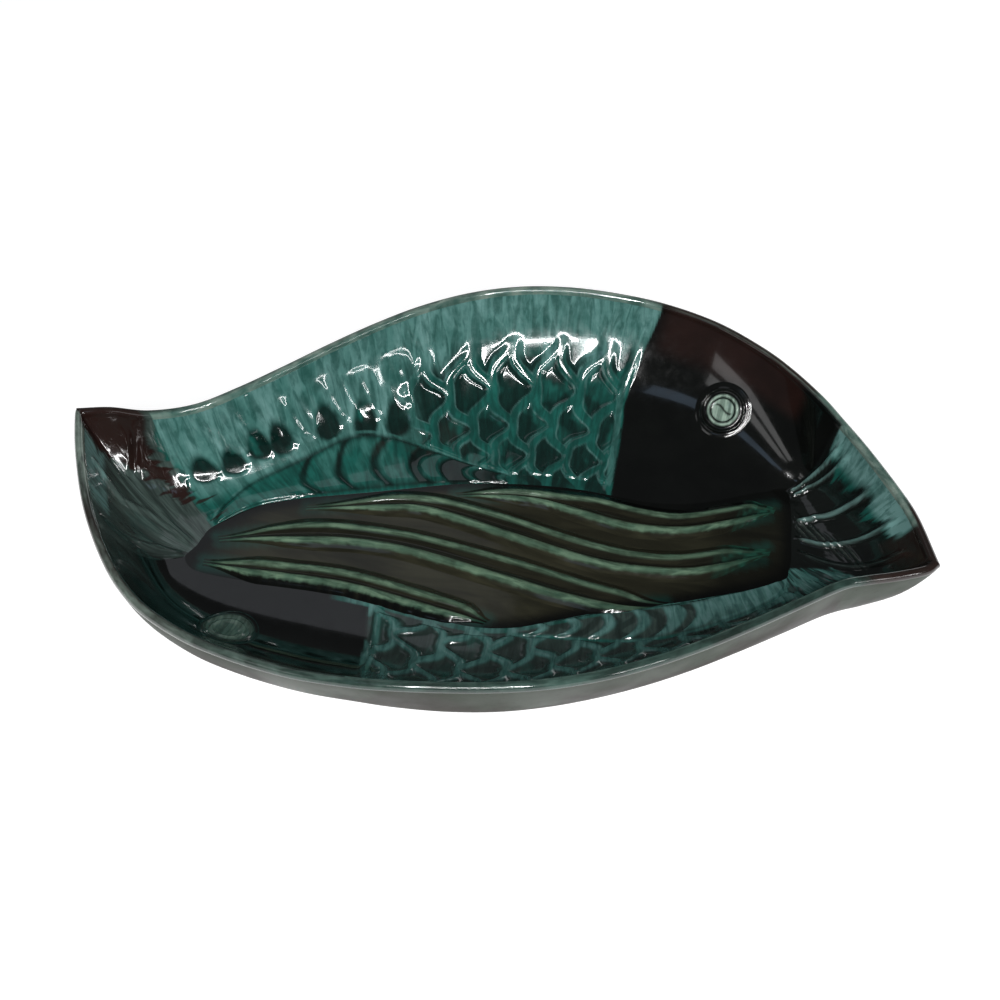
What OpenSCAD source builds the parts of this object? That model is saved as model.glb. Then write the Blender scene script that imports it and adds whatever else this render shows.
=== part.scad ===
// Glazed earthenware serving dish in the form of two fish lying head to tail.
// Millimetres. The dish stands on its foot ring at z = 0, with its length along X and its middle at the origin.
// Upper fish: its side is +Y and its head points to +X. Lower fish: its side is -Y and its head points to -X.
// Each fish's tail fan fills the tip in front of the other fish's nose.

/* [Dish] */
// Length from tip to tip
dish_len = 410; // [300:5:520]
// Width across the widest part of the rim
dish_wid = 258; // [190:2:330]
// Depth from the rim at the two tips to the flat floor
bowl_depth = 38; // [28:1:55]
// Extra height of the rim at the middle of each side
rim_rise = 14; // [0:1:24]
// Thickness of the flat floor
floor_t = 7; // [4:0.5:10]

/* [Rim] */
// Width of the rounded lip
lip_w = 4.6; // [3:0.2:7]
// Height of the lip above the wall that carries it
lip_h = 3; // [2:0.25:6]

/* [Foot] */
// Height of the foot ring
foot_h = 4; // [2:0.5:8]
// Width of the foot ring's tread
foot_w = 6; // [4:0.5:10]

/* [Scales] */
// Height of the net of raised scale edges
scale_h = 2.4; // [0.8:0.1:3]

/* [Divider ribs] */
// Width of a rib at the floor
rib_w = 12; // [8:0.5:13]
// Height of a rib above the floor
rib_h = 5; // [3:0.5:8]
// Depth of the groove along a rib's crest
rib_groove = 1.6; // [0.5:0.1:2.6]

/* [Eyes and gills] */
// Outside diameter of the ring round an eye
eye_d = 28; // [20:1:34]
// Height of the ring above the head
eye_h = 3; // [2:0.25:5]
// Diameter of the domed pupil
pupil_d = 15; // [10:0.5:18]
// Height of the ridge behind the gills
gill_h = 2.4; // [1:0.2:4]

/* [Fins and tails] */
// Thickness of a belly fin at its edge
fin_t = 1; // [0.6:0.1:2]
// Height of the rays above the fin
ray_h = 1.6; // [0.6:0.1:3]
// Height of the ridges on a tail fan
fan_h = 3.5; // [2:0.25:6]

/* [Hidden] */

half_len = dish_len / 2;
half_wid = dish_wid / 2;
floor_z = foot_h + floor_t;
tip_z = floor_z + bowl_depth;
// Depth of an eye's root below the head's slope, which the head's own shape then cuts away
eye_root = floor_t / 2;

// Powers of the curves that the inside and the outside of the wall follow from the rim to the floor
inner_power_share = 3.2;
outer_power_share = 4.5;
// Power that crowds the steps of the inside towards the rim
crowd_share = 1.15;

// Matched places on the rim and on the edge of the floor, in shares of half the length and half the width:
// rim x, rim y, floor x, floor y. The first list runs over the upper side from the left tip to the right tip.
upper_side_shares = [
    [-1.000, 0.008, -0.650, -0.300], [-0.921, 0.042, -0.646, -0.260], [-0.822, 0.053, -0.632, -0.200],
    [-0.724, 0.110, -0.558, -0.076], [-0.641, 0.218, -0.470, -0.003], [-0.556, 0.352, -0.384, 0.048],
    [-0.469, 0.496, -0.304, 0.094], [-0.381, 0.632, -0.222, 0.144], [-0.289, 0.755, -0.139, 0.194],
    [-0.183, 0.862, -0.060, 0.232], [-0.069, 0.938, 0.020, 0.260], [0.052, 0.982, 0.102, 0.281],
    [0.177, 0.999, 0.182, 0.292], [0.306, 0.995, 0.259, 0.292], [0.440, 0.955, 0.351, 0.290],
    [0.557, 0.875, 0.439, 0.315], [0.635, 0.795, 0.517, 0.365], [0.713, 0.689, 0.595, 0.430],
    [0.765, 0.597, 0.665, 0.465], [0.828, 0.480, 0.682, 0.400], [0.902, 0.321, 0.690, 0.320],
    [0.950, 0.197, 0.694, 0.250], [1.000, 0.000, 0.698, 0.185]
];
// The second list runs back over the lower side, from the right tip to the left tip.
lower_side_shares = [
    [1.000, 0.000, 0.698, 0.185], [0.977, -0.043, 0.700, 0.150], [0.915, -0.096, 0.700, 0.115],
    [0.854, -0.140, 0.698, 0.080], [0.803, -0.186, 0.690, 0.040], [0.717, -0.310, 0.616, -0.036],
    [0.628, -0.441, 0.539, -0.096], [0.538, -0.566, 0.461, -0.153], [0.445, -0.680, 0.378, -0.206],
    [0.351, -0.776, 0.292, -0.262], [0.254, -0.852, 0.206, -0.330], [0.153, -0.909, 0.117, -0.396],
    [0.048, -0.951, 0.024, -0.425], [-0.053, -0.981, -0.078, -0.416], [-0.121, -0.994, -0.215, -0.400],
    [-0.222, -1.000, -0.320, -0.400], [-0.307, -0.989, -0.400, -0.408], [-0.397, -0.965, -0.473, -0.415],
    [-0.494, -0.924, -0.540, -0.420], [-0.604, -0.846, -0.595, -0.420], [-0.683, -0.757, -0.633, -0.412],
    [-0.754, -0.645, -0.655, -0.390], [-0.830, -0.495, -0.665, -0.362], [-0.889, -0.353, -0.662, -0.345],
    [-0.950, -0.178, -0.658, -0.330], [-0.991, -0.037, -0.654, -0.315], [-1.000, 0.008, -0.650, -0.300]
];
// Rows of those lists at which a tail meets its body, a body its head, and a head the other fish's tail
upper_tail_row = 2;
upper_gill_row = 13;
upper_nose_row = 18;
upper_tip_row = len(upper_side_shares) - 1;
lower_tail_row = 4;
lower_gill_row = 14;
lower_nose_row = 22;
lower_tip_row = len(lower_side_shares) - 1;
// Stations to a row: a body has one scale to each row, whose net needs 8 stations
body_steps = 8;
head_steps = 3;
tail_steps = 4;
// Rows of scales between the lip and a fin, and steps to a row of scales
scale_rows = 4;
// Place of the net along the fish and across it, in shares of a scale and of a row
scale_lead_share = 0.75;
scale_drop_share = 0.5;
scale_row_steps = 4;
scale_steps = scale_rows * scale_row_steps;
fin_steps = 5;
smooth_steps = 12;
outer_steps = 5;

// Centre lines of the ribs in shares of half the length and half the width
rib_1_shares = [[-0.020, 0.180], [0.060, 0.212], [0.147, 0.228], [0.245, 0.224], [0.341, 0.216], [0.434, 0.232],
    [0.522, 0.290], [0.590, 0.345], [0.645, 0.395]];
rib_2_shares = [[-0.440, -0.040], [-0.366, 0.005], [-0.273, 0.055], [-0.180, 0.085], [-0.078, 0.088],
    [0.020, 0.060], [0.122, 0.033], [0.220, 0.008], [0.312, -0.004], [0.405, 0.008], [0.498, 0.048],
    [0.580, 0.115], [0.655, 0.190]];
rib_3_shares = [[-0.625, -0.260], [-0.561, -0.217], [-0.473, -0.180], [-0.380, -0.143], [-0.288, -0.118],
    [-0.190, -0.114], [-0.093, -0.124], [0.005, -0.140], [0.102, -0.158], [0.195, -0.176], [0.288, -0.190],
    [0.370, -0.150], [0.450, -0.100]];
rib_4_shares = [[-0.625, -0.345], [-0.527, -0.352], [-0.434, -0.347], [-0.341, -0.337], [-0.249, -0.334],
    [-0.151, -0.342], [-0.054, -0.358], [0.035, -0.364]];
rib_stations = 24;
// A rib's section, in shares of its width and height
rib_section_shares = [[-0.5, 0], [-0.38, 0.8], [-0.22, 1], [0, 1], [0.22, 1], [0.38, 0.8], [0.5, 0]];
rib_crest_point = 3;
// Share of a rib's length over which each end tapers, and the least share of its size that is left there
rib_taper_share = 0.12;
rib_end_share = 0.25;
// Lip's section from outside to inside, in shares of its width and height
lip_section_shares = [[0, 0], [0, 0.6], [0.35, 1], [0.8, 0.85], [1, 0]];
// Half width of a raised scale edge, as a share of a scale's length
edge_share = 0.22;
// Share of the way from the lip to the floor down to which the scales reach where there is no fin
fin_end_share = 0.93;
// The same share along a belly fin's edge, at each row that the fin crosses, and the row where it starts
upper_fin_shares = [0.93, 0.66, 0.54, 0.47, 0.46, 0.56, 0.74, 0.88, 0.93];
lower_fin_shares = [0.93, 0.70, 0.63, 0.61, 0.64, 0.71, 0.84, 0.93];
upper_fin_row = 2;
lower_fin_row = 4;
// Stations of the body, next to the head, that carry the gill ridge and have no scales
gill_stations = 3;
fin_rays = 9;
fan_ridges = 3;
// Shares of the way from rim to floor over which relief fades in below the rim and out above the floor
rim_fade_share = 0.2;
floor_fade_share = 0.12;
// Places of the eyes on their heads: stations past the gills, and share of the way from the lip to the floor
upper_eye_station = 5;
upper_eye_share = 0.28;
lower_eye_station = 11;
lower_eye_share = 0.5;
// Outside of the foot ring, in shares of half the length and half the width
foot_shares = [[-0.550, -0.145], [-0.375, -0.020], [-0.100, 0.130], [0.180, 0.205], [0.390, 0.220], [0.535, 0.310],
    [0.620, 0.285], [0.655, 0.175], [0.615, 0.040], [0.450, -0.090], [0.230, -0.235], [0.000, -0.345],
    [-0.250, -0.375], [-0.435, -0.395], [-0.550, -0.370], [-0.592, -0.265]];
foot_steps = 6;

function mix(a, b, f) = a + (b - a) * f;
function bell(x) = abs(x) >= 1 ? 0 : pow(cos(90 * x), 2);
function smooth(x) = let (c = max(0, min(1, x))) c * c * (3 - 2 * c);

// Point at a share f of the way from row k to the next on a smooth curve through all the rows
function curve_point(rows, k, f) =
    let (
        last = len(rows) - 1,
        b = rows[k],
        c = rows[k + 1],
        a = k > 0 ? rows[k - 1] : 2 * b - c,
        d = k + 1 < last ? rows[k + 2] : 2 * c - b
    )
    (2 * b + (c - a) * f + (2 * a - 5 * b + 4 * c - d) * f * f + (3 * (b - c) + d - a) * f * f * f) / 2;
function stations(rows, first, last, steps) =
    [for (k = [first : last - 1], s = [0 : steps - 1]) curve_point(rows, k, s / steps)];

// All stations round the rim, clockwise seen from above, from the lower fish's nose
loop_shares = concat(
    stations(lower_side_shares, lower_nose_row, lower_tip_row, tail_steps),
    stations(upper_side_shares, 0, upper_tail_row, tail_steps),
    stations(upper_side_shares, upper_tail_row, upper_gill_row, body_steps),
    stations(upper_side_shares, upper_gill_row, upper_nose_row, head_steps),
    stations(upper_side_shares, upper_nose_row, upper_tip_row, tail_steps),
    stations(lower_side_shares, 0, lower_tail_row, tail_steps),
    stations(lower_side_shares, lower_tail_row, lower_gill_row, body_steps),
    stations(lower_side_shares, lower_gill_row, lower_nose_row, head_steps)
);
ring = len(loop_shares);
upper_body_at = (lower_tip_row - lower_nose_row + upper_tail_row) * tail_steps;
upper_head_at = upper_body_at + (upper_gill_row - upper_tail_row) * body_steps;
lower_tail_at = upper_head_at + (upper_nose_row - upper_gill_row) * head_steps;
lower_body_at = lower_tail_at + (upper_tip_row - upper_nose_row + lower_tail_row) * tail_steps;
lower_head_at = lower_body_at + (lower_gill_row - lower_tail_row) * body_steps;

rim_xy = [for (s = loop_shares) [s[0] * half_len, s[1] * half_wid]];
floor_xy = [for (s = loop_shares) [s[2] * half_len, s[3] * half_wid]];
function at(list, i) = list[(i + ring) % ring];
function unit(v) = v / norm(v);
function inward(v) = unit([v[1], -v[0]]);
rim_z = [for (p = rim_xy) tip_z + rim_rise * pow(max(0, 1 - pow(p[0] / half_len, 2)), 2)];
wall_z = [for (z = rim_z) z - lip_h];
run_xy = [for (i = [0 : ring - 1]) floor_xy[i] - rim_xy[i]];
// Distance along each run at which the lip has its full width square to the rim
lip_run = [for (i = [0 : ring - 1])
    let (
        v = unit(run_xy[i]),
        before = v * inward(at(rim_xy, i) - at(rim_xy, i - 1)),
        after = v * inward(at(rim_xy, i + 1) - at(rim_xy, i))
    )
    lip_w / min(before, after)];

// Inside of the wall at station i and share t of the way from the lip to the floor, with relief on top
function inner_point(i, t, relief = 0) =
    let (v = at(run_xy, i), start = at(lip_run, i) / norm(v), xy = at(rim_xy, i) + v * mix(start, 1, t))
    [xy[0], xy[1], floor_z + (at(wall_z, i) - floor_z) * pow(1 - t, inner_power_share) + relief];
// Outside of the wall, from the outer edge of the rim to the underside of the floor
function outer_point(i, t) =
    let (xy = at(rim_xy, i) + at(run_xy, i) * t)
    [xy[0], xy[1], foot_h + (at(wall_z, i) - foot_h) * pow(1 - t, outer_power_share)];

function fades(t) = smooth(t / rim_fade_share) * smooth((1 - t) / floor_fade_share);
// Even steps from the lip to the floor, crowded towards the rim
function smooth_steps_list() = [for (j = [0 : smooth_steps]) pow(j / smooth_steps, crowd_share)];

// Quad strips of a grid of points, cut along the same diagonal wherever two pieces share the grid
function grid_faces(rows, cols, flip, at_point = 0) =
    [for (i = [0 : rows - 2], j = [0 : cols - 2], half = [0, 1])
        let (
            a = at_point + i * cols + j,
            b = a + cols,
            tri = half == 0 ? [a, b, b + 1] : [a, b + 1, a + 1]
        )
        flip ? [tri[0], tri[2], tri[1]] : tri];

// Triangles of an end, between a top row and a bottom row that has no more points than the top
function end_faces(top_at, nt, bottom_at, nb, flip) =
    [for (j = [0 : nt - 2])
        let (
            k = bottom_at + floor(j * (nb - 1) / (nt - 1)),
            next = bottom_at + floor((j + 1) * (nb - 1) / (nt - 1)),
            tris = concat([[top_at + j, top_at + j + 1, k]], next > k ? [[top_at + j + 1, next, k]] : [])
        )
        for (tri = tris) flip ? [tri[0], tri[2], tri[1]] : tri];

// Solid between a top grid and a bottom grid, each with a row of points at every station
module slab_between(top, bottom) {
    n = len(top);
    nt = len(top[0]);
    nb = len(bottom[0]);
    below = n * nt;
    top_points = [for (row = top, p = row) p];
    bottom_points = [for (row = bottom, p = row) p];
    rim_side = [for (i = [0 : n - 2], half = [0, 1])
        let (a = below + i * nb, b = below + (i + 1) * nb, c = (i + 1) * nt, d = i * nt)
        half == 0 ? [a, b, c] : [a, c, d]];
    floor_side = [for (i = [0 : n - 2], half = [0, 1])
        let (a = i * nt + nt - 1, b = (i + 1) * nt + nt - 1, c = below + (i + 1) * nb + nb - 1, d = below + i * nb + nb - 1)
        half == 0 ? [a, b, c] : [a, c, d]];
    polyhedron(
        points = concat(top_points, bottom_points),
        faces = concat(grid_faces(n, nt, false), grid_faces(n, nb, true, below), rim_side, floor_side,
            end_faces(0, nt, below, nb, false), end_faces((n - 1) * nt, nt, below + (n - 1) * nb, nb, true))
    );
}
function outer_grid(first, last) =
    [for (i = [first : last]) [for (j = [0 : outer_steps]) outer_point(i, j / outer_steps)]];

// Raised net of pointed scales, a scales along the fish and c rows across it: wavy edges that touch at each row
function net(a, c) =
    let (
        wave = cos(180 * c) / 4,
        even = abs(a - wave - round(a - wave)),
        odd = abs(a - 1 / 2 + wave - round(a - 1 / 2 + wave))
    )
    bell(min(even, odd) / edge_share);

// A belly fin is its first station and the list of its edge's shares
function fin_share(i, fin) =
    let (f = (i - fin[0]) / body_steps)
    f < 0 || f >= len(fin[1]) - 1 ? fin_end_share : curve_point(fin[1], floor(f), f - floor(f));
function fin_stations(fin) = (len(fin[1]) - 1) * body_steps;
// Steps from the lip to a fin's edge and from there to the floor, at station i
function body_steps_list(i, fin) =
    let (edge = fin_share(i, fin))
    concat(
        [for (j = [0 : scale_steps - 1]) edge * j / scale_steps],
        [for (j = [0 : fin_steps]) mix(edge, 1, j / fin_steps)]
    );
upper_fin = [upper_body_at + (upper_fin_row - upper_tail_row) * body_steps, upper_fin_shares];
lower_fin = [lower_body_at + (lower_fin_row - lower_tail_row) * body_steps, lower_fin_shares];

// Scaled side of a fish, between its tail and its gills
module body_wall(first, last, fin) {
    top = [for (i = [first : last])
        let (
            along = (i - first) / body_steps,
            left = (last - gill_stations - i) / body_steps,
            ends = smooth(along) * smooth(left),
            ts = body_steps_list(i, fin)
        )
        [for (j = [0 : len(ts) - 1])
            let (across = j / scale_row_steps, past = smooth(scale_rows - across))
            inner_point(i, ts[j], scale_h * net(along + scale_lead_share, across + scale_drop_share) * fades(ts[j]) * past * ends)]];
    slab_between(top, outer_grid(first, last));
}
// Plain side of a fish's head
module head_wall(first, last) {
    top = [for (i = [first : last]) [for (t = smooth_steps_list()) inner_point(i, t)]];
    slab_between(top, outer_grid(first, last));
}
// Fan of a fish's tail, ridged from the floor out to the rim
module tail_wall(first, last) {
    top = [for (i = [first : last])
        let (
            f = (i - first) / (last - first),
            ridge = pow(abs(sin(180 * fan_ridges * f)), 2)
        )
        [for (t = smooth_steps_list()) inner_point(i, t, fan_h * ridge * fades(t))]];
    slab_between(top, outer_grid(first, last));
}
// Half of the rounded lip
module lip(first, last) {
    n = len(lip_section_shares);
    points = [for (i = [first : last])
        let (v = unit(at(run_xy, i)), w = at(lip_run, i))
        for (s = lip_section_shares)
            let (xy = at(rim_xy, i) + v * w * s[0])
            [xy[0], xy[1], at(wall_z, i) + lip_h * s[1]]];
    rows = last - first;
    sides = [for (i = [0 : rows - 1], j = [0 : n - 1], half = [0, 1])
        let (a = i * n + j, b = a + n, c = (i + 1) * n + (j + 1) % n, d = i * n + (j + 1) % n)
        j == n - 1 ? (half == 0 ? [a, c, d] : [a, b, c]) : (half == 0 ? [a, b, c] : [a, c, d])];
    polyhedron(
        points = points,
        faces = concat(sides, [[for (j = [0 : n - 1]) j]], [[for (j = [n - 1 : -1 : 0]) rows * n + j]])
    );
}
// Raised belly fin with curved rays, bedded on the wall below the scales
module belly_fin(fin) {
    base = [for (i = [fin[0] : fin[0] + fin_stations(fin)])
        let (edge = fin_share(i, fin))
        [for (j = [0 : fin_steps]) inner_point(i, mix(edge, 1, j / fin_steps))]];
    top = [for (i = [0 : len(base) - 1])
        [for (j = [0 : fin_steps])
            let (
                f = i / (len(base) - 1),
                across = j / fin_steps,
                ray = pow(sin(180 * (fin_rays * f - across)), 2),
                body = smooth(4 * f) * smooth(4 * (1 - f)) * sin(180 * across)
            )
            base[i][j] + [0, 0, fin_t + ray_h * ray * body]]];
    slab_between(top, base);
}
// Ridge behind the gills, bedded on the last stations of the body
module gill_ridge(last, fin) {
    first = last - gill_stations;
    base = [for (i = [first : last]) [for (t = body_steps_list(i, fin)) inner_point(i, t)]];
    top = [for (i = [0 : len(base) - 1])
        [for (j = [0 : len(base[i]) - 1])
            base[i][j] + [0, 0, gill_h * (i == 0 || i == len(base) - 1 ? 1 / 4 : 1)]]];
    slab_between(top, base);
}
// Ring and pupil of an eye, standing square to the head's slope at station i and share t
module eye_form(i, t) {
    ring_in = pupil_d / 2 + (eye_d - pupil_d) / 8;
    place = inner_point(i, t);
    across = inner_point(i + 1, t) - inner_point(i - 1, t);
    down = inner_point(i, t + 1 / smooth_steps) - inner_point(i, t - 1 / smooth_steps);
    square = unit(cross(down, across));
    translate(place)
        rotate([0, acos(square[2]), atan2(square[1], square[0])]) {
            rotate_extrude($fn = 72)
                polygon([[ring_in, -eye_root], [eye_d / 2, -eye_root], [eye_d / 2 - eye_h / 4, eye_h / 3],
                    [(eye_d / 2 + ring_in) / 2, eye_h], [ring_in, eye_h / 2]]);
            rotate_extrude($fn = 72)
                polygon([[0, -eye_root], [ring_in, -eye_root], [ring_in, eye_h / 2], [pupil_d / 2, eye_h / 2],
                    [pupil_d / 4, eye_h], [0, eye_h]]);
        }
}

// Raised double rib along a curve on the floor
module rib(shares) {
    rows = [for (s = shares) [s[0] * half_len, s[1] * half_wid]];
    n = len(rib_section_shares);
    spans = len(rows) - 1;
    line = [for (i = [0 : rib_stations])
        let (x = i / rib_stations * spans, k = min(spans - 1, floor(x)))
        curve_point(rows, k, x - k)];
    points = [for (i = [0 : rib_stations])
        let (
            ahead = line[min(rib_stations, i + 1)] - line[max(0, i - 1)],
            side = -inward(ahead),
            f = i / rib_stations,
            size = mix(rib_end_share, 1, smooth(min(f, 1 - f) / rib_taper_share))
        )
        for (j = [0 : n - 1])
            let (
                s = rib_section_shares[j],
                xy = line[i] + side * (rib_w * size * s[0]),
                drop = j == rib_crest_point ? rib_groove * size : 0
            )
            [xy[0], xy[1], floor_z + rib_h * size * s[1] - drop]];
    sides = [for (i = [0 : rib_stations - 1], j = [0 : n - 1], half = [0, 1])
        let (a = i * n + j, b = a + n, c = (i + 1) * n + (j + 1) % n, d = i * n + (j + 1) % n)
        half == 0 ? [a, c, b] : [a, d, c]];
    polyhedron(
        points = points,
        faces = concat(sides, [[for (j = [n - 1 : -1 : 0]) j]], [[for (j = [0 : n - 1]) rib_stations * n + j]])
    );
}
// Smooth outline of the foot, drawn in by a distance
foot_rows = [for (r = foot_shares) [r[0] * half_len, r[1] * half_wid]];
function foot_row(k) = foot_rows[(k + len(foot_rows)) % len(foot_rows)];
foot_line = [for (k = [0 : len(foot_rows) - 1], f = [0 : foot_steps - 1])
    curve_point([foot_row(k - 1), foot_row(k), foot_row(k + 1), foot_row(k + 2)], 1, f / foot_steps)];
function foot_outline(inset) =
    let (n = len(foot_line))
    [for (i = [0 : n - 1])
        foot_line[i] + inward(foot_line[(i + 1) % n] - foot_line[(i + n - 1) % n]) * inset];

module floor_slab() {
    color("#2b2a20")
        translate([0, 0, foot_h])
            linear_extrude(height = floor_t)
                polygon(floor_xy);
}
module foot_ring() {
    color("#6f6a5c")
        linear_extrude(height = foot_h)
            difference() {
                polygon(foot_outline(0));
                polygon(foot_outline(foot_w));
            }
}
module upper_rim() {
    color("#3c6f66")
        lip(0, lower_tail_at);
}
module lower_rim() {
    color("#3a2a24")
        lip(lower_tail_at, ring);
}
module upper_tail() {
    color("#4f8f84")
        tail_wall(0, upper_body_at);
}
module upper_body() {
    color("#1f6f62")
        body_wall(upper_body_at, upper_head_at, upper_fin);
}
module upper_head() {
    color("#141416")
        head_wall(upper_head_at, lower_tail_at);
}
module lower_tail() {
    color("#4f8f84")
        tail_wall(lower_tail_at, lower_body_at);
}
module lower_body() {
    color("#1f6f62")
        body_wall(lower_body_at, lower_head_at, lower_fin);
}
module lower_head() {
    color("#141416")
        head_wall(lower_head_at, ring);
}
module upper_belly_fin() {
    color("#2f8575")
        belly_fin(upper_fin);
}
module lower_belly_fin() {
    color("#2f8575")
        belly_fin(lower_fin);
}
module upper_gill_ridge() {
    color("#5fa093")
        gill_ridge(upper_head_at, upper_fin);
}
module lower_gill_ridge() {
    color("#5fa093")
        gill_ridge(lower_head_at, lower_fin);
}
module upper_eye() {
    color("#7fae98")
        difference() {
            eye_form(upper_head_at + upper_eye_station, upper_eye_share);
            head_wall(upper_head_at, lower_tail_at);
        }
}
module lower_eye() {
    color("#7fae98")
        difference() {
            eye_form(lower_head_at + lower_eye_station, lower_eye_share);
            head_wall(lower_head_at, ring);
        }
}
module rib_1() {
    color("#7c9a86")
        rib(rib_1_shares);
}
module rib_2() {
    color("#7c9a86")
        rib(rib_2_shares);
}
module rib_3() {
    color("#7c9a86")
        rib(rib_3_shares);
}
module rib_4() {
    color("#7c9a86")
        rib(rib_4_shares);
}

floor_slab();
foot_ring();
upper_rim();
lower_rim();
upper_head();
upper_body();
upper_tail();
lower_head();
lower_body();
lower_tail();
upper_belly_fin();
lower_belly_fin();
upper_gill_ridge();
lower_gill_ridge();
upper_eye();
lower_eye();
rib_1();
rib_2();
rib_3();
rib_4();
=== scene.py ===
import math

import bpy
import numpy as np
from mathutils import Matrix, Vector
from mathutils.geometry import delaunay_2d_cdt


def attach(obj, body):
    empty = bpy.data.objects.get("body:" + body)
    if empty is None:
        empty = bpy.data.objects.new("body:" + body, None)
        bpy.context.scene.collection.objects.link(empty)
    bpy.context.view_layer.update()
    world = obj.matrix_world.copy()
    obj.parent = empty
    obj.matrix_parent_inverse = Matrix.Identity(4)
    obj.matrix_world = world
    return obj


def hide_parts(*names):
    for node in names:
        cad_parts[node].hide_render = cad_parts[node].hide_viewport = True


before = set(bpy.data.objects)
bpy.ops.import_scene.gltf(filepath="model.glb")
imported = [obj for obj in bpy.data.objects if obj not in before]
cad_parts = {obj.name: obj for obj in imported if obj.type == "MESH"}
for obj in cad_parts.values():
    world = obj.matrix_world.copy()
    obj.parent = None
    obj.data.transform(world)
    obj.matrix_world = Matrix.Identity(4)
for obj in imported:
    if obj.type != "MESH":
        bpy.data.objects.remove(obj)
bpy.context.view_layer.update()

# Sizes in millimetres, the same as the solids'
MM = 0.001
HALF_LEN, HALF_WID = 205.0, 129.0
FLOOR_Z, TIP_Z, RISE, FOOT_H = 11.0, 49.0, 14.0, 4.0
LIP_W, LIP_H = 4.6, 3.0
INNER_POWER, OUTER_POWER = 3.2, 4.5
UP = np.array([0.0, 0.0, 1.0])

# Rim x, rim y, floor x, floor y, in shares of the half length and half width: upper side from left tip to right tip
UPPER = np.array([
    [-1.000, 0.008, -0.650, -0.300], [-0.921, 0.042, -0.646, -0.260], [-0.822, 0.053, -0.632, -0.200],
    [-0.724, 0.110, -0.558, -0.076], [-0.641, 0.218, -0.470, -0.003], [-0.556, 0.352, -0.384, 0.048],
    [-0.469, 0.496, -0.304, 0.094], [-0.381, 0.632, -0.222, 0.144], [-0.289, 0.755, -0.139, 0.194],
    [-0.183, 0.862, -0.060, 0.232], [-0.069, 0.938, 0.020, 0.260], [0.052, 0.982, 0.102, 0.281],
    [0.177, 0.999, 0.182, 0.292], [0.306, 0.995, 0.259, 0.292], [0.440, 0.955, 0.351, 0.290],
    [0.557, 0.875, 0.439, 0.315], [0.635, 0.795, 0.517, 0.365], [0.713, 0.689, 0.595, 0.430],
    [0.765, 0.597, 0.665, 0.465], [0.828, 0.480, 0.682, 0.400], [0.902, 0.321, 0.690, 0.320],
    [0.950, 0.197, 0.694, 0.250], [1.000, 0.000, 0.698, 0.185],
])
# Lower side, from the right tip back to the left tip
LOWER = np.array([
    [1.000, 0.000, 0.698, 0.185], [0.977, -0.043, 0.700, 0.150], [0.915, -0.096, 0.700, 0.115],
    [0.854, -0.140, 0.698, 0.080], [0.803, -0.186, 0.690, 0.040], [0.717, -0.310, 0.616, -0.036],
    [0.628, -0.441, 0.539, -0.096], [0.538, -0.566, 0.461, -0.153], [0.445, -0.680, 0.378, -0.206],
    [0.351, -0.776, 0.292, -0.262], [0.254, -0.852, 0.206, -0.330], [0.153, -0.909, 0.117, -0.396],
    [0.048, -0.951, 0.024, -0.425], [-0.053, -0.981, -0.078, -0.416], [-0.121, -0.994, -0.215, -0.400],
    [-0.222, -1.000, -0.320, -0.400], [-0.307, -0.989, -0.400, -0.408], [-0.397, -0.965, -0.473, -0.415],
    [-0.494, -0.924, -0.540, -0.420], [-0.604, -0.846, -0.595, -0.420], [-0.683, -0.757, -0.633, -0.412],
    [-0.754, -0.645, -0.655, -0.390], [-0.830, -0.495, -0.665, -0.362], [-0.889, -0.353, -0.662, -0.345],
    [-0.950, -0.178, -0.658, -0.330], [-0.991, -0.037, -0.654, -0.315], [-1.000, 0.008, -0.650, -0.300],
])
# Rows are counted once round the rim, clockwise from the lower fish's nose: the tips are at rows 4 and 26
ROWS = 48
ZONES = [("upper_tail", 0, 6), ("upper_body", 6, 17), ("upper_head", 17, 22),
         ("lower_tail", 22, 30), ("lower_body", 30, 40), ("lower_head", 40, 48)]
# Edge of each belly fin: row, share of the way from the lip to the floor
UPPER_FIN = np.array([[6.0, 0.93], [6.5, 0.76], [7.3, 0.57], [8.2, 0.48], [9.2, 0.42], [10.0, 0.40], [10.8, 0.47],
                      [11.6, 0.62], [12.4, 0.77], [13.2, 0.87], [14.0, 0.93]])
LOWER_FIN = np.array([[30.0, 0.93], [30.5, 0.72], [31.5, 0.63], [32.5, 0.61], [33.5, 0.63], [34.5, 0.69], [35.5, 0.79],
                      [36.3, 0.87], [37.0, 0.93]])
FIN_END = 0.93
FOOT = np.array([[-0.550, -0.145], [-0.375, -0.020], [-0.100, 0.130], [0.180, 0.205], [0.390, 0.220], [0.535, 0.310],
                 [0.620, 0.285], [0.655, 0.175], [0.615, 0.040], [0.450, -0.090], [0.230, -0.235], [0.000, -0.345],
                 [-0.250, -0.375], [-0.435, -0.395], [-0.550, -0.370], [-0.592, -0.265]])
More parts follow.
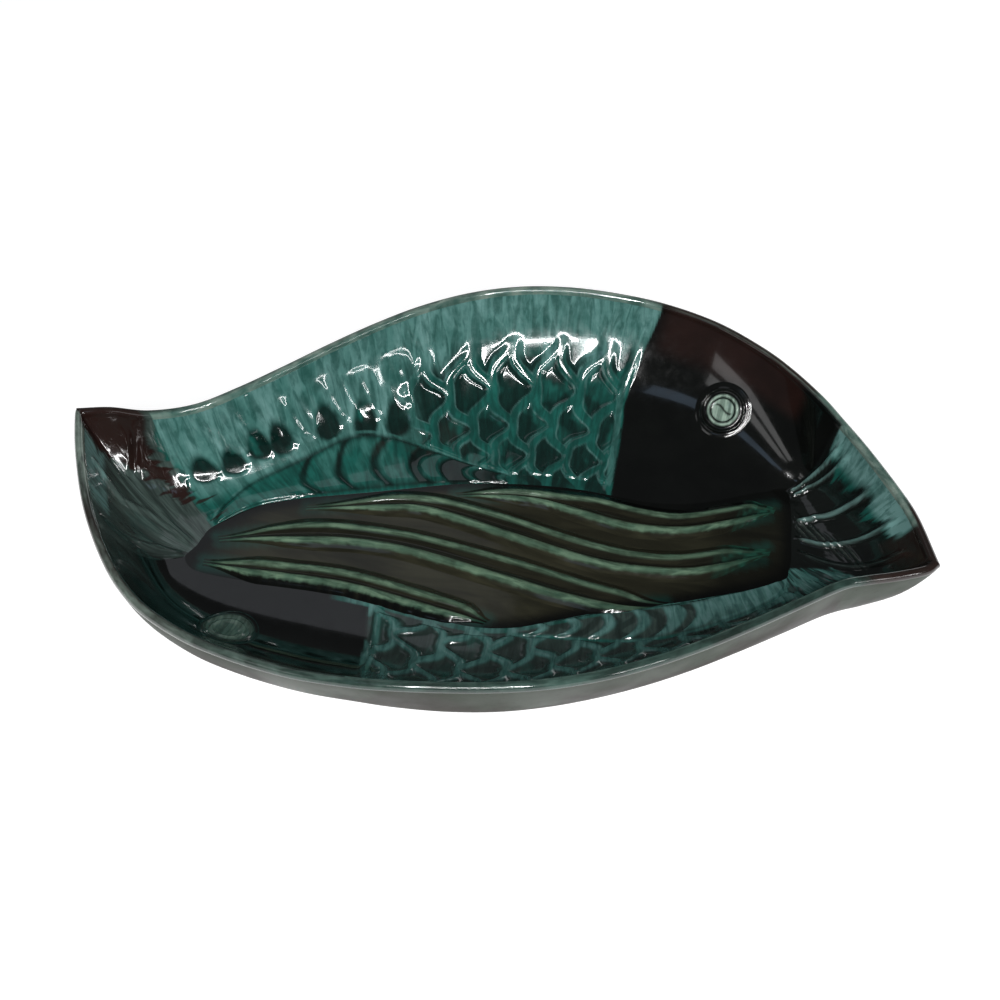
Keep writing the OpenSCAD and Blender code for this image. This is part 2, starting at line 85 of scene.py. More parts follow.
# Each rib's two crests, seen from above, from left to right
RIBS = {
    "rib_1": ([(-22, 21.6), (-10, 25.1), (4.7, 27.4), (19.4, 28.9), (34, 30.0), (48.9, 30.9), (68.9, 29.1),
               (88.2, 30.4), (106.6, 38.1), (124.8, 47.2), (134, 50.5)],
              [(-19, 18.8), (-8, 21.6), (6, 24.2), (22.7, 25.0), (40.6, 22.4), (60, 19.6), (76, 20.2), (94.0, 24.1),
               (110, 31.5), (132, 42.5)]),
    "rib_2": ([(-90, -2.5), (-76.7, 1.8), (-62, 6.6), (-46.6, 11.0), (-27.1, 13.2), (-6.5, 11.6), (13.8, 8.9),
               (34.3, 5.2), (54.2, 2.7), (73.5, 2.3), (92.0, 5.4), (109.9, 12.8), (134, 24.8)],
              [(-90, -7.0), (-76, -2.8), (-64, 0.6), (-52.0, 4.0), (-35.8, 7.2), (-14.9, 5.2), (5.9, 1.4),
               (26.0, -1.9), (46.1, -4.9), (65.3, -5.8), (93.2, -2.2), (112, 5.0), (133, 15.5)]),
    "rib_3": ([(-126, -31.0), (-112, -24.5), (-97.8, -19.7), (-69.7, -13.4), (-40.3, -11.3), (-20.3, -12.0),
               (-0.1, -13.9), (19.5, -16.0), (39.3, -18.9), (58.7, -21.2), (77.6, -21.8), (92, -18.5)],
              [(-123.1, -35.5), (-94.7, -27.6), (-76, -23.0), (-57.5, -20.0), (-38.0, -19.3), (-18.0, -21.1),
               (2.2, -23.9), (22.0, -26.4), (41.5, -28.9), (69.7, -29.8), (88, -26.5)]),
    "rib_4": ([(-127.1, -45.5), (-108, -44.2), (-89.1, -42.6), (-70, -40.6), (-51.3, -40.3), (-21.5, -43.3),
               (2, -46.4), (14, -48.4)],
              [(-126.2, -50.4), (-107, -49.2), (-87.7, -47.6), (-68, -46.4), (-49.4, -46.4), (-19.8, -49.4),
               (-5.1, -50.9), (10, -53.0)]),
}
RIB_Z = 2.7
# How far below its own surface the wall stays where a raised piece covers it, and how far that piece reaches down
COVER_DROP, PATCH_DROP = 0.25, 0.2
# Millimetres per row, and down the outside, in the glaze's own coordinates
FLOW_ROW, FLOW_OUTSIDE = 16.0, 60

# Small tools

rng = np.random.default_rng(11)
LATTICE = rng.random((256, 256))


def smooth(x):
    x = np.clip(x, 0, 1)
    return x * x * (3 - 2 * x)


def noise(x, y):
    """Smooth noise from 0 to 1 at unit spacing."""
    x, y = np.broadcast_arrays(np.asarray(x, float), np.asarray(y, float))
    xi, yi = np.floor(x).astype(int), np.floor(y).astype(int)
    fx, fy = smooth(x - xi), smooth(y - yi)
    a, b = LATTICE[xi % 256, yi % 256], LATTICE[(xi + 1) % 256, yi % 256]
    c, d = LATTICE[xi % 256, (yi + 1) % 256], LATTICE[(xi + 1) % 256, (yi + 1) % 256]
    return (a * (1 - fx) + b * fx) * (1 - fy) + (c * (1 - fx) + d * fx) * fy


def rough_noise(x, y, octaves=3):
    total, size = 0.0, 0.0
    for k in range(octaves):
        total = total + noise(x * 2**k + 17 * k, y * 2**k + 31 * k) / 2**k
        size += 0.5**k
    return total / size


def spline(rows, x):
    """Smooth curve through rows, at the places x counted in rows."""
    rows = np.asarray(rows, float)
    n = len(rows)
    k = np.clip(np.floor(x).astype(int), 0, n - 2)
    f = (x - k)[:, None]
    b, c = rows[k], rows[k + 1]
    a = np.where((k > 0)[:, None], rows[k - 1], 2 * b - c)
    d = np.where((k + 2 < n)[:, None], rows[np.minimum(k + 2, n - 1)], 2 * c - b)
    return (2 * b + (c - a) * f + (2 * a - 5 * b + 4 * c - d) * f**2 + (3 * (b - c) + d - a) * f**3) / 2


def unit(v):
    return v / np.maximum(np.linalg.norm(v, axis=-1, keepdims=True), 1e-12)


def shares(r):
    out = np.empty((len(r), 4))
    for rows, first, last, at in ((LOWER, 0, 4, 22), (UPPER, 4, 26, 0), (LOWER, 26, 48, 0)):
        pick = (r >= first) & (r < last)
        out[pick] = spline(rows, r[pick] - first + at)
    return out


def fin_edge(r):
    out = np.full(len(r), FIN_END)
    for fin in (UPPER_FIN, LOWER_FIN):
        x = np.interp(r, fin[:, 0], np.arange(len(fin)))
        inside = (r > fin[0, 0]) & (r < fin[-1, 0])
        out[inside] = spline(fin[:, 1:], x[inside])[:, 0]
    return out


# The wall as one grid of stations round the rim and columns from the lip to the floor

steps = {"tail": 24, "body": 34, "head": 20}
stations, zone_at = [], {}
for name, first, last in ZONES:
    n = steps[name.split("_")[1]]
    zone_at[name] = (len(stations), len(stations) + (last - first) * n)
    stations += [first + k / n for k in range((last - first) * n)]
R = np.array(stations)
N = len(R)
S = shares(R)
RIM = S[:, :2] * [HALF_LEN, HALF_WID]
FLO = S[:, 2:] * [HALF_LEN, HALF_WID]
RIM_Z = TIP_Z + RISE * np.maximum(0, 1 - (RIM[:, 0] / HALF_LEN) ** 2) ** 2
WALL_Z = RIM_Z - LIP_H
RUN = FLO - RIM
RUN_LEN = np.linalg.norm(RUN, axis=1)
before = unit(RIM - np.roll(RIM, 1, 0))
after = unit(np.roll(RIM, -1, 0) - RIM)
square = [(unit(RUN) * np.stack([v[:, 1], -v[:, 0]], 1)).sum(1) for v in (before, after)]
LIP_RUN = LIP_W / np.minimum(*square)

COLS_WALL, COLS_FIN, COLS_OUT, COLS_LIP = ((112, 60, 26, 14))
EDGE = fin_edge(R)
T = np.concatenate([EDGE[:, None] * np.arange(COLS_WALL) / COLS_WALL,
                    EDGE[:, None] + (1 - EDGE[:, None]) * np.arange(COLS_FIN + 1) / COLS_FIN], 1)
M = T.shape[1]


def wall_point(t):
    start = (LIP_RUN / RUN_LEN)[:, None]
    xy = RIM[:, None] + RUN[:, None] * (start + (1 - start) * t)[..., None]
    z = FLOOR_Z + (WALL_Z[:, None] - FLOOR_Z) * (1 - t) ** INNER_POWER
    return np.concatenate([xy, z[..., None]], 2)


def grid_normals(P, column):
    """Normals of a grid that closes along its stations. They look up at that column, and straight up at the last."""
    right, left = np.roll(P, -1, 0), P
    quad = np.cross(left[:, 1:] - right[:, :-1], right[:, 1:] - left[:, :-1])
    total = np.zeros_like(P)
    for di in (0, 1):
        for dj in (0, 1):
            total[:, dj:P.shape[1] - 1 + dj] += np.roll(quad, di, 0)
    total = unit(total)
    if total[:, column, 2].mean() < 0:
        total = -total
    total[:, -1] = UP
    return total


BASE = wall_point(T)
BASE_N = grid_normals(BASE, M // 2)
RR = np.repeat(R[:, None], M, 1)

# Lengths on the surface for one row and for the whole way down, in millimetres
down = np.linalg.norm(np.diff(BASE, axis=1), axis=2)
DOWN = np.concatenate([np.zeros((N, 1)), np.cumsum(down, 1)], 1)
gaps = np.diff(np.append(R, ROWS))
ROW_LEN = np.linalg.norm(np.roll(BASE, -1, 0) - BASE, axis=2) / gaps[:, None]
DOWN_RATE = np.gradient(DOWN, axis=1) / np.maximum(np.gradient(T, axis=1), 1e-6)

# Relief and glaze of the wall


def band(x, first, last, soft):
    return smooth((x - first) / soft) * smooth((last - x) / soft)


def gill_row(t, upper):
    """Row of the line between the scales and the smooth head, at each share of the way down."""
    at = np.array([0, 0.14, 0.37, 0.7, 1.0])
    rows = np.array([16.90, 16.72, 16.58, 16.78, 16.98]) if upper else np.array([40.10, 40.12, 40.10, 39.98, 39.95])
    return np.interp(t, at, rows)


wob = 0.16 * (rough_noise(RR * 1.3, T * 5) - 0.5)
# The net of the scales: the share of the way down that one row takes, and how far its lines bulge
ROW_T = 0.215
BULGE = 0.17
across = (T - 0.355) / ROW_T + 2 + wob
along = RR - 0.25 + wob + BULGE * np.sin(np.pi * across) ** 2
wave = np.cos(np.pi * across) / 4
lean = np.pi / 4 * np.sin(np.pi * across)
curl = BULGE * np.pi * np.sin(2 * np.pi * across)


def net_mm(phase, tilt):
    """Distance to the nearest line of one family of net lines, in millimetres."""
    return np.abs(phase - np.round(phase)) / np.sqrt(1 / ROW_LEN**2 + (tilt / (DOWN_RATE * ROW_T)) ** 2)


D_NET = np.minimum(net_mm(along - wave, curl + lean), net_mm(along + 0.5 + wave, curl - lean))

upper_body = band(RR, 5.95, 17.0, 0.3) * smooth((gill_row(T, True) - 0.12 - RR) / 0.06)
lower_body = band(RR, 29.9, 40.3, 0.3) * smooth((gill_row(T, False) - 0.12 - RR) / 0.06)
on_body = np.maximum(upper_body, lower_body)
in_scales = on_body * smooth((EDGE[:, None] - T) / 0.02)
relief_from = np.interp(RR, [5, 8, 10, 12, 17, 29, 33, 40], [-0.08, -0.03, 0.03, 0.10, 0.12, 0.0, 0.04, 0.12])
strength = 0.16 + 0.84 * smooth((T - relief_from) / 0.14)
low_fade = smooth((1 - T) / 0.05)
CELL = np.clip(0.36 * ROW_LEN, 3.2, 7.0)
LINE_W = np.where(RR < 20, 1.0, 0.70)
line = smooth((0.80 * CELL * LINE_W - D_NET) / (0.70 * CELL * LINE_W))
left = smooth((11.9 - RR) / 0.7) * upper_body
H = 1.45 * line * strength * in_scales * low_fade * (1 - left) * (0.35 + 0.65 * smooth((T - 0.10) / 0.08))
# On the narrow left part of the upper body: raised leaves (row, first and last share), and pits where dark glaze pools
LEAVES = [(7.39, 0.07, 0.25), (8.06, 0.03, 0.24), (8.86, 0.10, 0.32), (9.80, 0.10, 0.29), (10.60, 0.14, 0.33),
          (11.45, 0.14, 0.31)]
PITS = [(6.54, 0.37), (7.21, 0.37), (7.93, 0.31), (8.44, 0.32), (9.54, 0.32), (10.41, 0.38), (11.16, 0.44)]
# Round each leaf a pale rim: partly glaze thinning over the edge, partly painted highlight loops
LEAF_RIM_PALE_AND_HIGHLIGHT = np.zeros_like(T)
for row, first, last in LEAVES:
    reach_down = smooth((T - first + 0.06) / 0.09) * smooth((last + 0.06 - T) / 0.09)
    beside = (RR - row - 1.2 * (T - (first + last) / 2)) / 0.38
    H += 1.2 * np.clip(1 - beside**2, 0, 1) ** 2 * reach_down * upper_body
    below = np.maximum(0, T - first - 0.04) / (last - first - 0.02)
    leaf_rim_pale_and_highlight = smooth(1 - np.abs((np.abs(beside) ** 3 + below**3) ** (1 / 3) - 1) / 0.24)
    LEAF_RIM_PALE_AND_HIGHLIGHT = np.maximum(LEAF_RIM_PALE_AND_HIGHLIGHT, leaf_rim_pale_and_highlight * smooth((T - first) / 0.05))
LEAF_RIM_PALE_AND_HIGHLIGHT *= upper_body * left
PIT = np.zeros_like(T)
for row, share in PITS:
    across_pit = (RR - row) / (0.30 - 0.5 * np.clip(share - T, 0, 0.2))
    down_pit = (T - share) / np.where(T < share, 0.15, 0.085)
    PIT = np.maximum(PIT, smooth((1.3 - np.hypot(across_pit, down_pit)) / 0.55))
H -= 0.35 * PIT * in_scales

# Gill ridges
GILL = np.zeros_like(T)
for upper in (True, False):
    centre = gill_row(T, upper) - 0.1 if upper else gill_row(T, upper) - 0.16
    d = np.abs(RR - centre) * ROW_LEN
    GILL = np.maximum(GILL, smooth((2.9 - d) / 2.4) * smooth((T - 0.10) / 0.2) * smooth((1 - T) / 0.12))
H += 0.9 * GILL

# Belly fins: a raised leaf with curved rays
FIN_BODY = np.zeros_like(T)
RAYS = np.zeros_like(T)
for fin, pitch, bend, widths in ((UPPER_FIN, 0.95, -0.42, ([9.0, 11.2, 12.2], [0.455, 0.43, 0.17])),
                                (LOWER_FIN, 0.80, -0.36, ([31.0, 33.0, 34.0], [0.44, 0.36, 0.20]))):
    first, last = fin[0, 0], fin[-1, 0]
    f = (T - EDGE[:, None]) / (1 - EDGE[:, None])
    inside = (RR > first) & (RR < last) & (f >= 0)
    up_mm = f * (1 - EDGE[:, None]) * DOWN_RATE
    rise = smooth(up_mm / np.where(RR < 12, 4.0, 2.2)) * smooth((1 - f) * 9) * band(RR, first, last, 0.35)
    FIN_BODY = np.where(inside, rise, FIN_BODY)
    phase = (RR - bend * np.sin(np.pi * np.clip(f, 0, 1)) + 0.3 * f
             + 0.12 * (rough_noise(RR * 1.4, T * 4) - 0.5)) / pitch
    d = np.abs(phase - np.round(phase))
    ray = smooth((np.interp(RR, *widths) + 0.03 - d) / 0.16) * smooth(f * 6) * smooth((1 - f) * 5)
    plain = smooth((first + 2.6 - RR) / 0.8)
    RAYS = np.where(inside, np.maximum(ray, plain) * band(RR, first - 0.2, last + 0.4, 0.5), RAYS)
H += FIN_BODY * (0.8 + 0.9 * RAYS)

# Tail fans: a few strong ridges and many fine rays. Each ridge is a list of (row, share)
FANS = [
    ([(5.4, 0.0), (4.9, 0.20), (4.2, 0.36), (4.02, 0.62), (3.3, 0.86), (2.8, 1.0)], 1.5, 3.8),
    ([(2.3, 0.0), (2.0, 0.28), (2.7, 0.56), (3.0, 0.80), (2.9, 1.0)], 1.2, 3.4),
    ([(0.5, 0.0), (0.50, 0.26), (0.9, 0.66), (0.6, 1.0)], 1.1, 3.2),
    ([(22.50, 0.0), (22.44, 0.08), (22.33, 0.23), (22.04, 0.56), (22.17, 1.0)], 2.6, 2.4),
    ([(22.86, 0.0), (22.80, 0.08), (22.69, 0.23), (22.40, 0.56), (22.5, 1.0)], 1.8, 2.2),
    ([(23.78, 0.0), (23.76, 0.13), (23.69, 0.31), (23.68, 0.67), (24.0, 1.0)], 2.5, 2.8),
    ([(24.92, 0.0), (24.89, 0.12), (24.92, 0.30), (24.96, 0.46), (25.1, 0.7), (25.1, 1.0)], 2.1, 2.6),
    ([(25.7, 0.0), (25.62, 0.1), (25.7, 0.3), (26.0, 1.0)], 1.0, 2.6),
]
FAN = np.zeros_like(T)
for path, height, width in FANS:
    path = np.array(path)
    centre = np.interp(T, path[:, 1], path[:, 0])
    d = np.abs(RR - centre) * ROW_LEN
    FAN = np.maximum(FAN, height * smooth((width - d) / width) * smooth((T - 0.02) / 0.1) * smooth((1 - T) / 0.16))
tails = np.maximum(np.maximum(band(RR, -1, 6.1, 0.25), band(RR, 21.9, 30.1, 0.3)), band(RR, 47.9, 49, 0.2))
FAN *= tails
fine = rough_noise(RR * 2.6 + 3 + 1.3 * T, T * 1.6 + RR * 0.5, 4)
H += FAN + np.where(RR < 10, 0.7, 0.35) * tails * (fine - 0.5) * smooth((T - 0.06) / 0.2) * smooth((1 - T) / 0.1)
# Short cross strokes at the root of the right tail
root_r = np.interp(T, [0, 0.39, 0.49, 0.61, 0.74, 0.90, 1.0], [26.2, 25.54, 25.27, 25.02, 24.57, 24.2, 23.84])
root_d = (RR - root_r) * ROW_LEN
STROKES = smooth(1 - np.abs(root_d) / 9) * smooth((T - 0.34) / 0.1) * smooth((0.97 - T) / 0.06)
STROKES *= 0.5 + 0.5 * np.cos(2 * np.pi * (DOWN + 0.35 * root_d) / 5.2)
STROKES *= band(RR, 22.4, 27.5, 0.4)
H += 0.9 * STROKES
# Feathered glaze where the lower tail meets the lower body
feather = rough_noise(RR * 3.1 + 2, T * 5 + RR * 1.2, 3)
low_right_from = np.interp(T, [0, 0.42, 0.66, 0.88, 1], [28.6, 26.1, 25.9, 27.4, 28.4])
low_right = smooth((RR - low_right_from) / 0.5) * smooth((31.6 - RR) / 1.2) * (RR > 25)
H += 0.9 * low_right * (feather - 0.5) * smooth((T - 0.05) / 0.2) * smooth((1 - T) / 0.1)

P_IN = BASE + BASE_N * H[..., None]

# Lip, and outside of the wall
theta = np.linspace(0, np.pi, COLS_LIP + 1)
lip_x = 0.5 - 0.5 * np.cos(theta)
lip_z = np.sin(theta) ** 0.75
run_dir = unit(RUN)
xy = RIM[:, None] + run_dir[:, None] * (LIP_RUN[:, None] * lip_x)[..., None]
z = WALL_Z[:, None] + LIP_H * lip_z
P_LIP = np.concatenate([xy, np.broadcast_to(z, xy.shape[:2])[..., None]], 2)
t_out = (np.linspace(1, 0, COLS_OUT + 1)) ** 1.2
xy = RIM[:, None] + RUN[:, None] * t_out[None, :, None]
z = FOOT_H + (WALL_Z[:, None] - FOOT_H) * (1 - t_out) ** OUTER_POWER
P_OUT = np.concatenate([xy, z[..., None]], 2)

# Normals are taken over the whole skin, so that no seam shows between pieces
skin_n = grid_normals(np.concatenate([P_OUT, P_LIP[:, 1:], P_IN[:, 1:]], 1), -M // 2)
N_OUT = skin_n[:, :COLS_OUT + 1]
N_LIP = skin_n[:, COLS_OUT:COLS_OUT + COLS_LIP + 1]
N_IN = skin_n[:, COLS_OUT + COLS_LIP:]

# Masks of the glaze. The dark base shows in hollows and on the heads, teal runs down from the rim
streak = rough_noise(RR * 3.4, DOWN / 42, 2)
blot = rough_noise(RR * 2.3 + 9, DOWN / 12, 3)
head_u = smooth((RR - gill_row(T, True)) / 0.05) * (RR < 22.4)
head_u *= smooth((np.interp(T, [0, 0.08, 0.27, 1], [20.7, 21.9, 22.1, 22.0]) - RR) / 0.5)
head_l = smooth((RR - gill_row(T, False)) / 0.05) * (RR < 48.01)
zone_body_u = (RR > 5.9) & (RR <= 17.1)
zone_body_l = (RR > 29.9) & (RR <= 40.2)
body = np.where(zone_body_u | zone_body_l, 1.0, 0.0) * (1 - head_u) * (1 - head_l)
top = smooth((0.27 + 0.05 * (RR < 10.5) + 0.22 * (streak - 0.5) - T) / 0.13)
band_mm = 0.40 * CELL * LINE_W + 0.9 * (blot - 0.5)
net = smooth((band_mm + 0.7 - D_NET) / 1.4)
broken = 0.35 + 0.65 * smooth((rough_noise(RR * 4, DOWN / 6 + 50) - 0.35) / 0.3)
net_edge = smooth(1 - np.abs(D_NET - band_mm + 0.3) / 0.7) * broken
cell_wash = np.where(RR < 20, 0.20 + smooth((blot - 0.48) / 0.22) * 0.5, 0.05 + smooth((blot - 0.58) / 0.2) * 0.3)
TEAL = body * np.clip(np.maximum.reduce([net * (0.60 + 0.35 * blot), top * (0.80 + 0.25 * streak), cell_wash]), 0, 1)
left_teal = body * (0.78 + 0.3 * blot) * (1 - 0.85 * PIT * smooth((blot - 0.1) / 0.25))
TEAL = TEAL * (1 - left) + left_teal * left
fin_left = np.maximum(smooth((9.0 - RR) / 1.3) * (RR < 17), smooth((32.0 - RR) / 1.3) * (RR > 20))
fin_fade = np.where(RR < 17, np.interp(RR, [8, 10, 13], [1.0, 0.9, 0.6]), 1.0)
fin_teal = (0.62 + 0.35 * blot) * fin_fade * np.maximum(fin_left * 0.6, RAYS) + np.where(RR < 20, 0.22, 0.12) * blot
TEAL = np.maximum(TEAL * (1 - FIN_BODY), FIN_BODY * np.clip(fin_teal, 0, 1))
TEAL = np.maximum(TEAL, GILL * 0.8 * body)
trace = smooth(1 - D_NET / 2.2) * smooth((rough_noise(RR * 2 + 4, DOWN / 20) - 0.35) / 0.3)
PALE = body * (net_edge * in_scales * (0.30 + 0.5 * streak) * (0.35 + 0.65 * strength)
               + top * (0.42 + 0.30 * smooth((streak - 0.36) / 0.35) + 0.20 * trace + 0.12 * smooth((0.1 - T) / 0.1)))
# The leaves' pale rims added here are partly painted highlight
left_pale = 0.36 + 0.14 * smooth((7.6 - RR) / 1.2) + 0.30 * smooth((streak - 0.36) / 0.35) + 0.35 * LEAF_RIM_PALE_AND_HIGHLIGHT
PALE = PALE * (1 - left) + left * left_pale * (1 - PIT) * smooth((0.75 - T) / 0.3)
PALE = np.maximum(PALE * (1 - FIN_BODY), FIN_BODY * 0.16 * RAYS * smooth((blot - 0.45) / 0.3))
PALE = np.maximum(PALE, 0.25 * smooth((GILL - 0.4) / 0.3) * body)
near_side = body * (RR > 20)
PALE = np.maximum(PALE, near_side * 0.50 * net * (1 - FIN_BODY))
PALE = np.maximum(PALE, near_side * 0.75 * FIN_BODY * RAYS)
# The lower fish's belly line, where the wall meets the floor
belly = smooth((T - 0.945) / 0.02) * band(RR, 30.2, 40.9, 0.4)
TEAL = np.maximum(TEAL, belly * (0.65 + 0.3 * blot))
PALE = np.maximum(PALE, belly * 0.35 * smooth((streak - 0.3) / 0.3))
fin_line = smooth(1 - np.abs((T - EDGE[:, None]) * DOWN_RATE - 0.4) / 1.5) * (EDGE[:, None] < FIN_END) * body
TEAL = np.maximum(TEAL, 0.85 * fin_line)
PALE = np.maximum(PALE, 0.35 * fin_line * smooth((blot - 0.3) / 0.3))
fan_u = (RR <= 6.0) * 1.0
fan_l = ((RR > 22.0) & (RR <= 30.0)) * 1.0
# Right tail: teal runs in from the rim between the ridges, the rest stays dark
reach = 0.13 + 0.10 * smooth((rough_noise(RR * 9, DOWN / 30) - 0.35) / 0.4)
reach = reach + 0.10 * band(RR, 22.6, 23.5, 0.3) + 0.08 * band(RR, 23.9, 24.7, 0.3)
rim_teal = smooth((reach - T) / 0.10) * band(RR, 22.15, 25.35, 0.12)
TEAL = np.maximum(TEAL, rim_teal * (0.65 + 0.4 * streak))
PALE = np.maximum(PALE, rim_teal * (0.95 + 0.9 * smooth((streak - 0.4) / 0.3)) * smooth((0.18 - T) / 0.1))
# Maroon tip of the left tail, feathered along its lower edge
ragged = 2.2 * (rough_noise(RR * 1.1, T * 30 + RR * 1.5) - 0.5) * smooth(T / 0.2)
tip_low = np.interp(T, [0, 0.11, 0.25, 0.32, 0.41, 0.55, 0.68, 1], [2.75, 2.8, 4.0, 4.5, 5.15, 5.5, 6.1, 6.5])
tip_high = np.interp(T, [0, 0.1, 0.21, 0.3, 0.49, 0.6, 1], [5.85, 5.6, 5.65, 5.95, 6.1, 6.2, 6.2])
TIP = smooth((RR - tip_low + ragged) / 0.35) * smooth((tip_high - RR + 0.6 * ragged) / 0.25) * (RR < 6.6)
after_tip = smooth((RR - tip_high + 0.6 * ragged) / 0.25) * fan_u
TEAL = np.maximum(TEAL, after_tip * (0.5 + 0.5 * blot))
FANPALE = fan_u * (1 - TIP) * (1 - after_tip) * (0.42 + 0.5 * smooth((fine - 0.33) / 0.36) + 0.3 * smooth(FAN / 1.2))
FANPALE *= 0.45 + 0.55 * smooth((RR - 0.3) / 1.2)
FANPALE += fan_l * (0.04 + 0.5 * smooth((FAN - 0.5) / 1.2) * smooth((T - 0.3) / 0.2) + 0.35 * STROKES)
FANPALE += near_side * (0.40 * (1 - net) + 0.35 * FIN_BODY)
# Pale on the right tail's ridge crests: partly glaze thinning over the crests, partly painted highlight
FANPALE += fan_l * 0.5 * smooth((FAN - 0.6) / 1.0)
PALE = np.maximum(PALE, fan_l * 0.5 * smooth((FAN - 1.1) / 0.8) * smooth((T - 0.05) / 0.1))
SAGE = band(RR, 0.7, 3.6, 0.4) * smooth((0.17 - T) / 0.05) * (1 - TIP)
FANPALE = np.clip(1.15 * FANPALE + SAGE, 0, 1)
PALE = np.maximum(PALE, 0.95 * SAGE)
PALE = np.maximum(PALE, low_right * 0.12)
TEAL = np.maximum(TEAL, low_right * np.clip(0.12 + 1.2 * smooth((feather - 0.40) / 0.12), 0, 1))
PALE = np.maximum(PALE, low_right * 0.6 * smooth((feather - 0.43) / 0.12))
BROWN = TIP + band(RR, 25.15, 28.4, 0.15) * smooth((0.3 - T) / 0.2) * (1 - low_right)
BROWN += 0.8 * head_u * band(RR, 16.8, 20.8, 0.4) * smooth((0.17 - T) / 0.08)
BROWN += 0.45 * smooth((STROKES - 0.4) / 0.3)
BROWN += 0.5 * head_l * smooth((0.08 - T) / 0.06)
BROWN += 0.55 * body * band(RR, 10.3, 13.0, 0.5) * (1 - net) * smooth((T - 0.45) / 0.1) * smooth((0.8 - T) / 0.1)
BROWN += 0.30 * body * smooth((blot - 0.50) / 0.2) * (1 - net) * smooth((T - 0.4) / 0.2)
BROWN = np.clip(BROWN, 0, 1)
TEAL *= 1 - 0.85 * TIP
PALE *= 1 - TIP
FLOW = np.stack([RR * FLOW_ROW, DOWN, H], 2)

# Colours of the lip by row: how brown, how teal and how pale. The pale is partly the glaze's own and partly painted
# highlight, along the far rim and at the lower left
lip_rows = [0, 0.9, 1.5, 3.4, 3.8, 5.6, 6.2, 8, 12, 16.6, 17.0, 20.7, 21.2, 24.3, 24.9, 28.6, 29.4, 34, 40, 43, 44.5,
            46.5, 48]
lip_brown = [0.8, 0.5, 0.1, 0.1, 0.95, 0.95, 0.4, 0.2, 0.1, 0.1, 0.95, 0.95, 0.1, 0.1, 0.95, 0.95, 0.5, 0.45, 0.45,
             0.4, 0.5, 0.8, 0.8]
lip_teal = [0, 0.1, 0.1, 0.1, 0, 0, 0.5, 0.6, 0.5, 0.5, 0, 0, 0.7, 0.7, 0, 0, 0.3, 0.3, 0.3, 0.25, 0.05, 0, 0]
lip_pale_and_highlight = [0.1, 0.5, 1.1, 1.1, 0.03, 0.03, 0.5, 0.8, 1.15, 1.0, 0.08, 0.08, 0.6, 0.6, 0.03, 0.03, 0.14, 0.15, 0.2,
            0.35, 0.7, 0.6, 0.1]
LIP_MASKS = np.stack([np.interp(R, lip_rows, v) for v in (lip_teal, lip_pale_and_highlight, lip_brown)], 1)

# Making pieces


def piece(node, slot, verts, quads, masks, ngons=(), tris=(), normals=None, material=None):
    """The visible piece that replaces a solid, from points in millimetres. The glaze reads the three masks."""
    mesh = bpy.data.meshes.new(node)
    verts = verts.reshape(-1, 3)
    loops = [np.asarray(faces, int).reshape(-1) for faces in (quads, tris, *ngons)]
    sizes = [4] * (len(loops[0]) // 4) + [3] * (len(loops[1]) // 3) + [len(g) for g in ngons]
    loops = np.concatenate(loops)
    mesh.vertices.add(len(verts))
    mesh.vertices.foreach_set("co", (verts * MM).astype(np.float32).ravel())
    mesh.loops.add(len(loops))
    mesh.loops.foreach_set("vertex_index", loops.astype(np.int32))
    mesh.polygons.add(len(sizes))
    mesh.polygons.foreach_set("loop_start", np.concatenate([[0], np.cumsum(sizes)[:-1]]).astype(np.int32))
    mesh.polygons.foreach_set("use_smooth", np.ones(len(sizes), bool))
    mesh.update(calc_edges=True)
    for key, value in zip(("glaze_a", "glaze_b", "flow"), masks):
        layer = mesh.attributes.new(key, "FLOAT_COLOR", "POINT")
        data = np.ones((len(verts), 4), np.float32)
        data[:, :3] = value.reshape(len(verts), 3)
        layer.data.foreach_set("color", data.ravel())
    if normals is not None:
        mesh.normals_split_custom_set_from_vertices([tuple(v) for v in normals.reshape(-1, 3)])
    obj = bpy.data.objects.new(node + "_glazed", mesh)
    bpy.context.scene.collection.objects.link(obj)
    mesh.materials.append(MAT[material or slot])
    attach(obj, "root")
    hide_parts(node)
    return mesh


def satin_faces(mesh, faces):
    """Gives the outside's glaze to those faces of a piece."""
    mesh.materials.append(MAT["outside"])
    side = np.zeros(len(mesh.polygons), np.int32)
    side[faces] = 1
    mesh.polygons.foreach_set("material_index", side)


def tube_faces(n, m, flip=False):
    """Quads of a grid of n rows whose m columns close round, with its two ends."""
    i, j = np.meshgrid(np.arange(n - 1), np.arange(m), indexing="ij")
    a, b = i * m + j, i * m + (j + 1) % m
    quads = np.stack([a, b, b + m, a + m], -1).reshape(-1, 4)
    ends = [list(range(m))[::-1], [(n - 1) * m + k for k in range(m)]]
    return (quads[:, ::-1], [end[::-1] for end in ends]) if flip else (quads, ends)


def zone_ring(first, last):
    return [i % N for i in range(first, last + 1)]


def station_near(r):
    return int(np.argmin(np.abs(R - r)))


# The glaze reads teal, pale and brown from the first mask, and the fans' colour and the outside's from the second
NONE = np.zeros_like(T)
MASK_A = np.stack([TEAL, PALE, BROWN], 2)
MASK_B = np.stack([FANPALE, NONE, NONE], 2)


